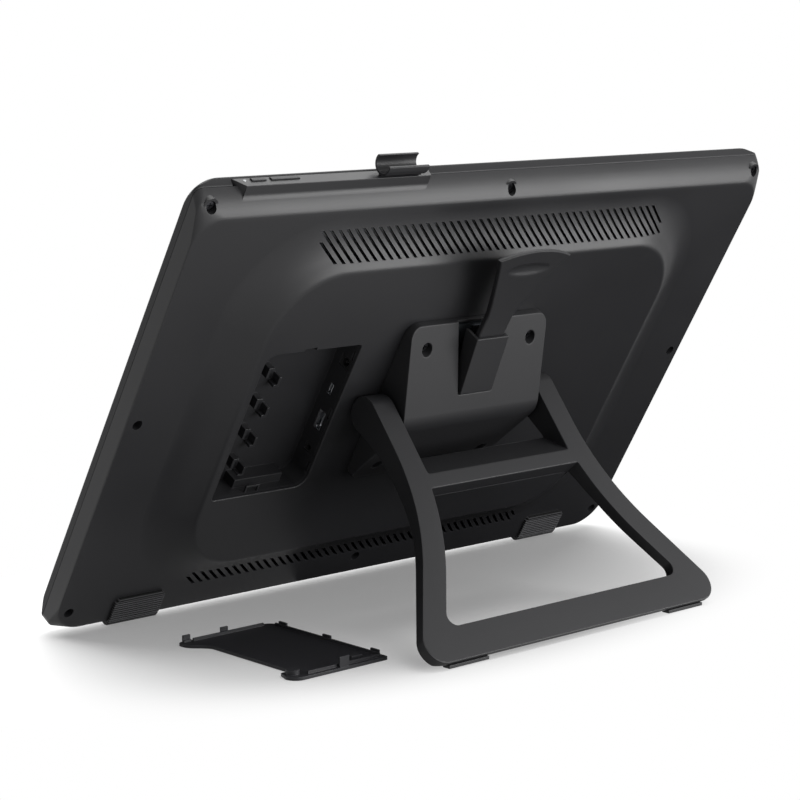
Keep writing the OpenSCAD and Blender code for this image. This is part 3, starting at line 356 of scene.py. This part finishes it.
FINISH.update({
    "chassis_aluminium": metal("chassis_aluminium", (0.55, 0.56, 0.58), 0.4),
    "screw_steel": metal("screw_steel", (0.6, 0.6, 0.62), 0.35),
    "screw_black": metal("screw_black", (0.05, 0.05, 0.055), 0.4),
    "port_steel": metal("port_steel", (0.62, 0.63, 0.65), 0.3),
    "bracket_steel": metal("bracket_steel", (0.09, 0.10, 0.11), 0.45),
    "shaft_steel": metal("shaft_steel", (0.08, 0.08, 0.085), 0.35),
})

UP_SCREEN = Vector((0, math.cos(TILT), math.sin(TILT)))


def distance(tree, along, start):
    """How far a surface point lies from a start in one direction."""
    place = tree.nodes.new("ShaderNodeTexCoord")
    at = add(tree, "ShaderNodeVectorMath", operation="DOT_PRODUCT")
    tree.links.new(place.outputs["Object"], at.inputs[0])
    at.inputs[1].default_value = along
    return math_node(tree, "SUBTRACT", at.outputs["Value"], start.dot(along))


def screen_area():
    """Mask of the lit part of the screen inside its black border."""
    inputs = (("Half width", SCREEN_W / 2 * MM), ("Half height", SCREEN_H / 2 * MM))
    tree, given, out = shader_group("screen_area", inputs)
    inside = []
    for along, name in ((Vector((1, 0, 0)), "Half width"), (UP_SCREEN, "Half height")):
        size = math_node(tree, "ABSOLUTE", distance(tree, along, spot(0, BODY_H / 2, 0)))
        inside.append(math_node(tree, "LESS_THAN", size, given.outputs[name]))
    tree.links.new(math_node(tree, "MULTIPLY", *inside), out.inputs["Mask"])
    return tree


def painted_rib_highlights():
    """Mask of the rib tops across a pad, where a paler colour is painted on as a painted highlight."""
    tree, given, out = shader_group("painted_rib_highlights", (("Pitch", RIB_PITCH * MM), ("Groove share", RIB_GROOVE)))
    up = distance(tree, UP_SCREEN, spot(0, RIB_START, 0))
    share = math_node(tree, "FRACT", math_node(tree, "DIVIDE", up, given.outputs["Pitch"]))
    tree.links.new(math_node(tree, "GREATER_THAN", share, given.outputs["Groove share"]), out.inputs["Mask"])
    return tree


def paler(material, group, colour):
    """The finish turns to a second colour inside a mask."""
    tree = material.node_tree
    shader = tree.nodes["Principled BSDF"]
    area = tree.nodes.new("ShaderNodeGroup")
    area.node_tree = group
    lit = add(tree, "ShaderNodeMix", data_type="RGBA")
    lit.inputs["B"].default_value = colour + (1,)
    tree.links.new(area.outputs["Mask"], lit.inputs["Factor"])
    tree.links.new(shader.inputs["Base Color"].links[0].from_socket, lit.inputs["A"])
    tree.links.new(lit.outputs["Result"], shader.inputs["Base Color"])
    return material


FINISH["screen_glass"] = paler(plastic("screen_glass", (0.004, 0.004, 0.004), 0.22, 0.4, depth=0.000004,
                                       worn=0.2, patch=0.04), screen_area(), (0.016, 0.017, 0.020))
# Pad rubber: the rib tops are painted paler, a painted highlight on the ribs; between them the rubber stays
# near-black.
RIBBED = paler(plastic("ribbed_rubber", (0.004, 0.004, 0.004), 0.55, 0.15, depth=0.000004, worn=0.3),
               painted_rib_highlights(), (0.055, 0.055, 0.058))
for node, obj in NODES.items():
    obj.data.materials.clear()
    obj.data.materials.append(FINISH[SLOT_OF[node]])


# Rear shell

CORNER_STEPS = 14
LIP = 0.35
LEDGE_BEND = ((346.8, 11.39), (344.8, 11.55), (342.0, 14.11))


def ring(x0, x1, v0, v1, r_low, r_high, n):
    """Rounded rectangle at a depth, with one radius below and one above."""
    corners = ((x1 - r_low, v0 + r_low, r_low, -90), (x1 - r_high, v1 - r_high, r_high, 0),
               (x0 + r_high, v1 - r_high, r_high, 90), (x0 + r_low, v0 + r_low, r_low, 180))
    points = []
    for cx, cv, r, start in corners:
        for i in range(CORNER_STEPS + 1):
            a = math.radians(start + 90 * i / CORNER_STEPS)
            points.append(spot(cx + r * math.cos(a), cv + r * math.sin(a), n))
    return points


def corner(n, back):
    if n < RIM_N:
        return CORNER_R + (MID_R - CORNER_R) * n / RIM_N
    return MID_R if n < MID_N else MID_R + (back - MID_R) * (n - MID_N) / (EDGE_D - MID_N)


def outline(n, inward=0.0, depth=None):
    """Tablet's outline at a depth, drawn in, and set at another depth if one is given."""
    top = BROW_V + math.sqrt((BROW_R - inward) ** 2 - (n - BROW_N) ** 2)
    half = BODY_W / 2 - inward
    return ring(-half, half, inward, top, corner(n, BACK_R[0]) - inward, corner(n, BACK_R[1]) - inward,
                n if depth is None else depth)


def rise(s):
    """Depth of the raised back at a distance s outside its flat top."""
    u = min(max(s / BUMP_SLOPE, 0.0), 1.0)
    return EDGE_D + BUMP_RISE * (1 - u) ** 1.8


def soft_rise(s, reach=1.4, shift=0.9, steps=12):
    """The same with its upper edge rounded."""
    near = [s + shift * max(0.0, 1 - s / 8) + reach * (2 * i / steps - 1) for i in range(steps + 1)]
    return sum(rise(t) for t in near) / len(near) if s < 8 else rise(s)


def slope(s, inward=0.0):
    depth = (rise(s) if inward else soft_rise(s)) - inward
    half = BUMP_X + s - inward
    r = BUMP_R + 0.7 * s - inward
    return ring(-half, half, BUMP_V0 - 0.8 * s + inward, BUMP_V1 + s - inward, r, r, depth)


def shell_skin():
    steps = [BUMP_SLOPE * i / 24 for i in range(25)]
    sides = [FRAME_D + LIP + (EDGE_D - 0.9 - FRAME_D - LIP) * i / 12 for i in range(13)]
    rings = [slope(s, WALL) for s in steps[::4]]
    rings += [outline(n, WALL) for n in (EDGE_D - WALL, 14.0, 11.0, 8.0, FRAME_D)]
    rings += [outline(FRAME_D, LIP)] + [outline(n) for n in sides]
    rings += [outline(EDGE_D - 0.3, 0.12), outline(EDGE_D - 0.1, 0.4, EDGE_D - 0.06), outline(EDGE_D, 1.0)]
    rings += [slope(s) for s in reversed([-4.4, -3.6, -2.8, -2.0, -1.2, -0.4, 0.4, 1.2, 2.0] + steps[2:])]
    return loft("rear_shell_skin", rings)


def ledge():
    """Raised ledge on the upper edge: a level top, a face that runs out hollow and slanted ends."""
    def left(n):
        return LEDGE_X0 - 4 + 4 * n / LEDGE_N if n <= LEDGE_N else LEDGE_X0 + 6 * (n - LEDGE_N) / 5

    def right(n):
        return LEDGE_X1 + 4 - 8 * n / LEDGE_N if n <= LEDGE_N else LEDGE_X1 - 4 + (n - LEDGE_N)

    face = [(LEDGE_V, LEDGE_N)]
    for i in range(10):
        t = i / 9
        face.append([(1 - t) ** 2 * a + 2 * t * (1 - t) * b + t ** 2 * c for a, b, c in zip(*LEDGE_BEND)])
    rows = [(LEDGE_V, 2.2)] + face + [(LEDGE_LOW, LEDGE_N), (LEDGE_LOW, 2.2)]
    bm = bmesh.new()
    a = [bm.verts.new(spot(left(n), v, n)) for v, n in rows]
    b = [bm.verts.new(spot(right(n), v, n)) for v, n in rows]
    for i in range(len(rows)):
        j = (i + 1) % len(rows)
        bm.faces.new((a[i], a[j], b[j], b[i]))
    for end in (a, b):
        bm.faces.new((end[0], end[1], end[-2], end[-1]))
        bm.faces.new(end[1:-1])
    obj = from_bmesh("ledge", bm)
    edge = obj.modifiers.new("edge", "BEVEL")
    edge.width, edge.segments = 0.7 * MM, 3
    return bake(obj)


def bay_points(out):
    """Outline of the port bay, let out all round."""
    points = []
    for cx, cv, r, start in ((BAY_X1 - 2, BAY_V0 + 2, 2, -90), (BAY_X1 - 9, BAY_V1 - 9, 9, 0),
                             (BAY_X0 + 3, BAY_V1 - 3, 3, 90), (BAY_X0 + 9, BAY_V0 + 9, 9, 180)):
        for i in range(9):
            a = math.radians(start + 90 * i / 8)
            points.append((cx + (r + out) * math.cos(a), cv + (r + out) * math.sin(a)))
    return points


def vent_row():
    """Row of slanted slots; the first and the last are cut short."""
    tree = bpy.data.node_groups.new("vent_row", "GeometryNodeTree")
    tree.is_modifier = True
    for name, kind in (("Slots", "NodeSocketInt"), ("Pitch", "NodeSocketFloat"), ("Width", "NodeSocketFloat"),
                       ("Low", "NodeSocketFloat"), ("High", "NodeSocketFloat"), ("Lean", "NodeSocketFloat"),
                       ("Depth", "NodeSocketFloat"), ("Finish", "NodeSocketMaterial")):
        tree.interface.new_socket(name=name, in_out="INPUT", socket_type=kind)
    tree.interface.new_socket(name="Geometry", in_out="OUTPUT", socket_type="NodeSocketGeometry")
    given, out = tree.nodes.new("NodeGroupInput"), tree.nodes.new("NodeGroupOutput")
    link = tree.links.new

    def reckon(operation, a, b):
        return math_node(tree, operation, a, b)

    def pick(when, yes, no):
        made = add(tree, "GeometryNodeSwitch", input_type="FLOAT")
        link(when, made.inputs["Switch"])
        for name, value in (("True", yes), ("False", no)):
            link(value, made.inputs[name])
        return made.outputs[0]

    def same(a, b):
        made = add(tree, "FunctionNodeCompare", data_type="FLOAT", operation="EQUAL")
        made.inputs["Epsilon"].default_value = 0.1
        link(a, made.inputs["A"])
        if isinstance(b, (int, float)):
            made.inputs["B"].default_value = b
        else:
            link(b, made.inputs["B"])
        return made.outputs[0]

    last = reckon("SUBTRACT", given.outputs["Slots"], 1)
    start = tree.nodes.new("ShaderNodeCombineXYZ")
    link(reckon("MULTIPLY", reckon("MULTIPLY", last, given.outputs["Pitch"]), -0.5), start.inputs["X"])
    step = tree.nodes.new("ShaderNodeCombineXYZ")
    link(given.outputs["Pitch"], step.inputs["X"])
    line = tree.nodes.new("GeometryNodeMeshLine")
    link(given.outputs["Slots"], line.inputs["Count"])
    link(start.outputs[0], line.inputs["Start Location"])
    link(step.outputs[0], line.inputs["Offset"])
    number = add(tree, "GeometryNodeStoreNamedAttribute", data_type="INT", domain="POINT")
    number.inputs["Name"].default_value = "slot"
    link(line.outputs["Mesh"], number.inputs["Geometry"])
    link(tree.nodes.new("GeometryNodeInputIndex").outputs[0], number.inputs["Value"])
    size = tree.nodes.new("ShaderNodeCombineXYZ")
    link(given.outputs["Width"], size.inputs["X"])
    size.inputs["Y"].default_value = 1.0
    link(given.outputs["Depth"], size.inputs["Z"])
    bar = tree.nodes.new("GeometryNodeMeshCube")
    link(size.outputs[0], bar.inputs["Size"])
    copies = tree.nodes.new("GeometryNodeInstanceOnPoints")
    link(number.outputs["Geometry"], copies.inputs["Points"])
    link(bar.outputs["Mesh"], copies.inputs["Instance"])
    real = tree.nodes.new("GeometryNodeRealizeInstances")
    link(copies.outputs["Instances"], real.inputs["Geometry"])
    here = tree.nodes.new("ShaderNodeSeparateXYZ")
    link(tree.nodes.new("GeometryNodeInputPosition").outputs[0], here.inputs[0])
    which = add(tree, "GeometryNodeInputNamedAttribute", data_type="INT")
    which.inputs["Name"].default_value = "slot"
    share = reckon("ADD", here.outputs["Y"], 0.5)
    short_first = reckon("ADD", reckon("MULTIPLY", share, 0.66), 0.34)
    short_last = reckon("MULTIPLY", share, 0.63)
    share = pick(same(which.outputs["Attribute"], 0), short_first, share)
    share = pick(same(which.outputs["Attribute"], last), short_last, share)
    length = reckon("SUBTRACT", given.outputs["High"], given.outputs["Low"])
    along = reckon("MULTIPLY", share, length)
    lean = reckon("MULTIPLY", reckon("SUBTRACT", along, reckon("MULTIPLY", length, 0.5)),
                     given.outputs["Lean"])
    place = tree.nodes.new("ShaderNodeCombineXYZ")
    link(reckon("ADD", here.outputs["X"], lean), place.inputs["X"])
    link(reckon("ADD", given.outputs["Low"], along), place.inputs["Y"])
    link(here.outputs["Z"], place.inputs["Z"])
    moved = tree.nodes.new("GeometryNodeSetPosition")
    link(real.outputs["Geometry"], moved.inputs["Geometry"])
    link(place.outputs[0], moved.inputs["Position"])
    finish = tree.nodes.new("GeometryNodeSetMaterial")
    link(moved.outputs["Geometry"], finish.inputs["Geometry"])
    link(given.outputs["Finish"], finish.inputs["Material"])
    link(finish.outputs["Geometry"], out.inputs["Geometry"])
    return tree


def grown(name, tree, **values):
    """Plain mesh of a node tree with these inputs."""
    obj = new_object(name, bpy.data.meshes.new(name))
    modifier = obj.modifiers.new("tree", "NODES")
    modifier.node_group = tree
    for item in tree.interface.items_tree:
        if item.in_out == "INPUT" and item.name in values:
            modifier[item.identifier] = values[item.name]
    return bake(obj)


VENTS = vent_row()


def vents(low, high, lean):
    """Cutter for one row of vents, in the tablet's place."""
    middle = EDGE_D + 5
    obj = grown("vents", VENTS, Slots=VENT_COUNT, Pitch=VENT_PITCH, Width=VENT_W, Low=low, High=high,
                Lean=lean, Depth=VENT_DEPTH, Finish=FINISH["shell_black"])
    for vert in obj.data.vertices:
        vert.co = spot(vert.co.x, vert.co.y, middle - vert.co.z)
    obj.data.update()
    bm = bmesh.new()
    bm.from_mesh(obj.data)
    bmesh.ops.recalc_face_normals(bm, faces=bm.faces)
    bm.to_mesh(obj.data)
    bm.free()
    return obj


def pad_points(side, low):
    x0, x1 = side * PAD_X - PAD_W / 2, side * PAD_X + PAD_W / 2
    return [(x0, low), (x1, low), (x1, PAD_TOP - PAD_CUT), (x1 - PAD_CUT, PAD_TOP), (x0 + PAD_CUT, PAD_TOP),
            (x0, PAD_TOP - PAD_CUT)]


def rear_shell():
    obj = shell_skin()
    posts = [ledge()]
    for x, v in CASE_AT:
        under = EDGE_D - 1 if v < BROW_V else 13.6
        posts.append(drill("post", x, v, [(POST_R, CASE_SEAT - 2), (POST_R, under)]))
    join_by(obj, posts, "UNION")
    mouth = [(0, IN_N - 1), (0, TOP_N - 0.8), (0.2, TOP_N - 0.3), (0.7, TOP_N + 0.05), (0.7, TOP_N + 1)]
    tools = [loft("mouth", [[spot(x, v, n) for x, v in bay_points(out)] for out, n in mouth])]
    tools.append(block("latch", BAY_X0 + 40.6, BAY_X0 + 51, BAY_V1 - 1, BAY_V1 + 2.6, IN_N - 1, TOP_N + 1))
    tools += [vents(BUMP_V1 + 4.5, BUMP_V1 + 25.3, 0.97), vents(BUMP_V0 - 28.2, BUMP_V0 - 14.7, 1.04)]
    for x, v in CASE_AT:
        steps = [(CASE_HOLE_R, FRAME_D - 1), (CASE_HOLE_R, CASE_SEAT)]
        steps += [(CASE_HEAD_R, CASE_SEAT), (CASE_HEAD_R, 40)]
        tools.append(drill("hole", x, v, steps))
    for centre, length in KEYS:
        half = length / 2 + KEY_PLAY
        tools.append(block("key", centre - half, centre + half, LEDGE_V - 3, LEDGE_V + 1, *KEY_N))
    tools.append(block("clip", LEDGE_X0 + 8, LEDGE_X0 + 44, LEDGE_V - 6, LEDGE_V + 1, 7.1, 9.7))
    for side in (-1, 1):
        x0, x1 = side * PAD_X - PAD_W / 2, side * PAD_X + PAD_W / 2
        tools.append(prism("pad", pad_points(side, -2), EDGE_D - PAD_SINK, EDGE_D + 8))
        tools.append(block("pad", x0, x1, -2, PAD_SINK, EDGE_D - PAD_BACK, EDGE_D))
    join_by(obj, tools, "DIFFERENCE")
    return dress(smooth(obj, 32), "rear_shell")


def front_frame():
    """Thin frame round the glass, rounded at the front."""
    half_w, half_h, mid, radius, seat = GLASS_W / 2, GLASS_H / 2, BODY_H / 2, 6, 5.9

    def window(out, n):
        low, high, r = mid - half_h - out, mid + half_h + out, radius + out
        return ring(-half_w - out, half_w + out, low, high, r, r, n)

    rings = [outline(FRAME_D, LIP)]
    rings += [outline(n) for n in (FRAME_D - LIP, 4.6, 4.0, 3.4, 2.8, 2.2, 1.6, 1.1)]
    rings += [outline(0.6, 0.1), outline(0.2, LIP), outline(0.0, 0.9)]
    rings += [window(0.5, 0.0), window(0.2, 0.12), window(0.02, 0.4), window(0.02, GLASS_T)]
    rings += [window(-seat, GLASS_T), window(-seat, FRAME_D)]
    obj = loft("front_frame_skin", rings, closed=True)
    notch = [(LEDGE_X0 - 3.2, LEDGE_LOW), (LEDGE_X1 + 2.6, LEDGE_LOW), (LEDGE_X1 + 2.6, LEDGE_V + 2),
             (LEDGE_X0 - 3.2, LEDGE_V + 2)]
    join_by(obj, [prism("notch", notch, 2.1, 8)], "DIFFERENCE")
    return dress(smooth(obj, 32), "front_frame")


# Release lever

LEV_V, LEV_N, LEV_N1 = HINGE_V + 22, TOP_N + 7.9, HINGE_N + 5.1
LEV_HW, LEV_TIP_HW, LEV_T = 12.3, 34.0, 4.6
LEV_FLAT, LEV_TIP, LEV_ARCH = HINGE_V + 77, HINGE_V + 132, 7.0
TIP_R = (LEV_TIP_HW ** 2 + LEV_ARCH ** 2) / (2 * LEV_ARCH)
CURL, CURL_EARLY, CURL_RUN = 7.6, 12, 66
REST_V, REST_HALF_W, REST_HALF_H, REST_DEEP = 302.5, 20.5, 5.4, 2.3
PIVOT_R, PIN_HOLE_R = 4.5, 2.05


def lever_half(v):
    reach = max(0.0, v - LEV_FLAT) / (LEV_TIP - LEV_FLAT)
    return LEV_HW + (LEV_TIP_HW - LEV_HW) * reach ** 1.32


def thumb_rest(x, v):
    """Depth of the lens-shaped hollow near the tip."""
    away = (x / REST_HALF_W) ** 2 + ((v - REST_V) / REST_HALF_H) ** 2
    return REST_DEEP * max(0.0, 1 - away) ** 0.8


def rounded(inside, radius):
    """How far a rounded rim has dropped at a distance inside the edge."""
    d = min(max(inside, 0.0), radius)
    return radius - math.sqrt(radius ** 2 - (radius - d) ** 2)


def lever_grid(back):
    """Rows of points over the lever's front or back, rounded down at its rim."""
    radius = 0.9 if back else 1.3
    near = [radius * t for t in (0, 0.08, 0.22, 0.42, 0.68, 1.0)]
    low = LEV_V - 5
    levels = [low + (LEV_TIP - low - radius) * i / 110 for i in range(111)]
    levels += [LEV_TIP - d for d in reversed(near[:-1])]
    rows = []
    for level in levels:
        half = lever_half(level)
        inner = [(half - radius) * (2 * i / 52 - 1) for i in range(53)]
        across = [-half + d for d in near[:-1]] + inner + [half - d for d in reversed(near[:-1])]
        row = []
        for x in across:
            crown = LEV_TIP + LEV_ARCH - TIP_R + math.sqrt(TIP_R ** 2 - x ** 2)
            v = level + (crown - LEV_TIP) * ((level - low) / (LEV_TIP - low)) ** 10
            n = LEV_N1 + CURL * (max(0.0, v - LEV_FLAT + CURL_EARLY) / CURL_RUN) ** 1.8
            rim = rounded(min(half - abs(x), crown - v), radius)
            if back:
                thin = 0.3 * max(0.0, (v - low) / (LEV_TIP + LEV_ARCH + 1 - low) * 24 - 8) / 16
                n += rim - LEV_T * (1 - thin)
            else:
                n -= rim + thumb_rest(x, v)
            row.append(spot(x, v, n))
        rows.append(row)
    return rows


def release_lever():
    bm = bmesh.new()
    sides = [[[bm.verts.new(p) for p in row] for row in lever_grid(back)] for back in (False, True)]
    for grid in sides:
        for a, b in zip(grid, grid[1:]):
            for i in range(len(a) - 1):
                bm.faces.new((a[i], a[i + 1], b[i + 1], b[i]))
    front, back = [g[0] + [r[-1] for r in g[1:]] + g[-1][-2::-1]
                   + [r[0] for r in g[-2:0:-1]] for g in sides]
    for i in range(len(front)):
        j = (i + 1) % len(front)
        bm.faces.new((front[i], front[j], back[j], back[i]))
    obj = from_bmesh("release_lever_skin", bm)
    root = block("root", -LEV_HW, LEV_HW, LEV_V - 4.6, LEV_V + PIVOT_R, LEV_N, LEV_N1 - 1)
    pivot = bar_along_x("pivot", LEV_V, LEV_N, PIVOT_R, LEV_HW)
    join_by(obj, [root, pivot], "UNION")
    join_by(obj, [bar_along_x("hole", LEV_V, LEV_N, PIN_HOLE_R, LEV_HW + 1)], "DIFFERENCE")
    return dress(smooth(obj, 40), "release_lever")


rear_shell()
front_frame()
release_lever()
for node, width, split in (("leg_frame", 0.9, True), ("mount_cover", 0.8, False), ("lever_cap", 0.7, False),
                           ("pen_clip", 0.4, False), ("port_lid", 0.25, True), ("bay_tray", 0.3, True),
                           ("power_button", 0.35, True), ("menu_button", 0.35, True),
                           ("stand_foot_left", 0.4, False), ("stand_foot_right", 0.4, False)):
    rounded_copy(node, width, split)
# Foot pads take the ribbed rubber, whose rib tops carry a painted highlight.
for node in ("foot_pad_left", "foot_pad_right"):
    rounded_copy(node, 0.25).data.materials[0] = RIBBED


# Stage, light and camera

FLOOR_GLOW = 0.20
SHADE_AT, SHADE_SIZE, SHADE_FADE = (0.05, -0.06), (0.40, 0.24), (0.65, 1.0)


def seen(tree):
    """1 for rays that show the backdrop, from the camera or mirrored, and 0 for those that carry light."""
    rays = tree.nodes.new("ShaderNodeLightPath").outputs
    mirrored = math_node(tree, "MAXIMUM", rays["Is Camera Ray"], rays["Is Glossy Ray"])
    return math_node(tree, "MAXIMUM", mirrored, rays["Is Transmission Ray"])


def floor():
    """White floor that keeps the shadow near the part and is plain white further out."""
    bm = bmesh.new()
    bmesh.ops.create_circle(bm, cap_ends=True, segments=96, radius=14.0)
    obj = from_bmesh("floor", bm, outward=False)
    material = bpy.data.materials.new("floor")
    material.use_nodes = True
    tree = material.node_tree
    tree.nodes.clear()
    link = tree.links.new
    out = tree.nodes.new("ShaderNodeOutputMaterial")
    paper = add(tree, "ShaderNodeBsdfDiffuse", Color=(0.8, 0.8, 0.8, 1))
    lift = tree.nodes.new("ShaderNodeEmission")
    near = tree.nodes.new("ShaderNodeAddShader")
    far = tree.nodes.new("ShaderNodeEmission")
    mix = tree.nodes.new("ShaderNodeMixShader")
    shown = seen(tree)
    link(math_node(tree, "MULTIPLY", shown, FLOOR_GLOW), lift.inputs["Strength"])
    place = tree.nodes.new("ShaderNodeTexCoord")
    oval = tree.nodes.new("ShaderNodeMapping")
    oval.inputs["Location"].default_value = [-at / size for at, size in zip(SHADE_AT, SHADE_SIZE)] + [0]
    oval.inputs["Scale"].default_value = [1 / size for size in SHADE_SIZE] + [1]
    link(place.outputs["Object"], oval.inputs["Vector"])
    away = add(tree, "ShaderNodeVectorMath", operation="LENGTH")
    link(oval.outputs["Vector"], away.inputs[0])
    fade = add(tree, "ShaderNodeMapRange", interpolation_type="SMOOTHSTEP")
    fade.inputs["From Min"].default_value, fade.inputs["From Max"].default_value = SHADE_FADE
    link(away.outputs["Value"], fade.inputs["Value"])
    link(paper.outputs[0], near.inputs[0])
    link(lift.outputs[0], near.inputs[1])
    link(math_node(tree, "MULTIPLY", fade.outputs["Result"], shown), mix.inputs["Fac"])
    link(near.outputs[0], mix.inputs[1])
    link(far.outputs[0], mix.inputs[2])
    link(mix.outputs[0], out.inputs["Surface"])
    obj.data.materials.append(material)
    return obj


def dark_card(*areas):
    """Card on the floor that only reflections see, which keeps the back dark at the right and below."""
    bm = bmesh.new()
    for x0, x1, y0, y1 in areas:
        corners = ((x0, y0), (x1, y0), (x1, y1), (x0, y1))
        bm.faces.new([bm.verts.new((x, y, 0.002)) for x, y in corners])
    obj = from_bmesh("dark_card", bm, outward=False)
    material = bpy.data.materials.new("dark_card")
    material.use_nodes = True
    shader = material.node_tree.nodes["Principled BSDF"]
    shader.inputs["Base Color"].default_value = (0.02, 0.02, 0.02, 1)
    shader.inputs["Specular IOR Level"].default_value = 0.0
    obj.data.materials.append(material)
    obj.visible_camera = obj.visible_diffuse = obj.visible_shadow = obj.visible_transmission = False


def world(strength):
    scene_world = bpy.data.worlds.new("studio")
    bpy.context.scene.world = scene_world
    scene_world.use_nodes = True
    tree = scene_world.node_tree
    link = tree.links.new
    sky = tree.nodes["Background"]
    sky.inputs["Color"].default_value = (1, 1, 1, 1)
    level = tree.nodes.new("ShaderNodeMapRange")
    level.inputs["To Min"].default_value = strength
    level.inputs["To Max"].default_value = 1.0
    link(seen(tree), level.inputs["Value"])
    link(level.outputs["Result"], sky.inputs["Strength"])


def lamp(name, place, aim, size, power, spared=None, mirrored=True):
    """Oblong lamp that lights everything but the spared object, and may be left out of reflections."""
    light = bpy.data.lights.new(name, "AREA")
    light.shape, light.size, light.size_y, light.energy = "RECTANGLE", size[0], size[1], power
    obj = bpy.data.objects.new(name, light)
    bpy.context.scene.collection.objects.link(obj)
    obj.location, obj.visible_glossy = place, mirrored
    obj.rotation_mode = "QUATERNION"
    obj.rotation_quaternion = (Vector(aim) - Vector(place)).to_track_quat("-Z", "Y")
    if spared:
        lit = bpy.data.collections.new(name + "_lit")
        lit.objects.link(spared)
        lit.collection_objects[0].light_linking.link_state = "EXCLUDE"
        obj.light_linking.receiver_collection = lit


def camera():
    yaw, pitch = math.radians(-137.44), math.radians(-9.107)
    ahead = Vector((math.sin(yaw) * math.cos(pitch), math.cos(yaw) * math.cos(pitch), math.sin(pitch)))
    data = bpy.data.cameras.new("camera")
    data.lens, data.sensor_width, data.clip_end = 106.54, 36.0, 60.0
    obj = bpy.data.objects.new("camera", data)
    bpy.context.scene.collection.objects.link(obj)
    obj.location = (1.1440, 1.1905, 0.4111)
    obj.rotation_mode = "QUATERNION"
    obj.rotation_quaternion = ahead.to_track_quat("-Z", "Y")
    bpy.context.scene.camera = obj


ground = floor()
dark_card((-1.1, -0.22, -0.14, 0.42), (-0.22, 0.05, -0.14, 0.09))
world(0.32)
lamp("overhead", (-0.6, -0.4, 2.0), (0, 0, 0.1), (2.2, 2.2), 46)
lamp("right", (-0.50, 1.04, 0.27), (0.0, 0.03, 0.24), (1.45, 0.50), 22, spared=ground)
lamp("front", (0.2, -1.1, 0.9), (0, -0.15, 0.05), (1.6, 0.6), 14, mirrored=False)
camera()
bpy.context.scene.view_settings.view_transform = "Standard"
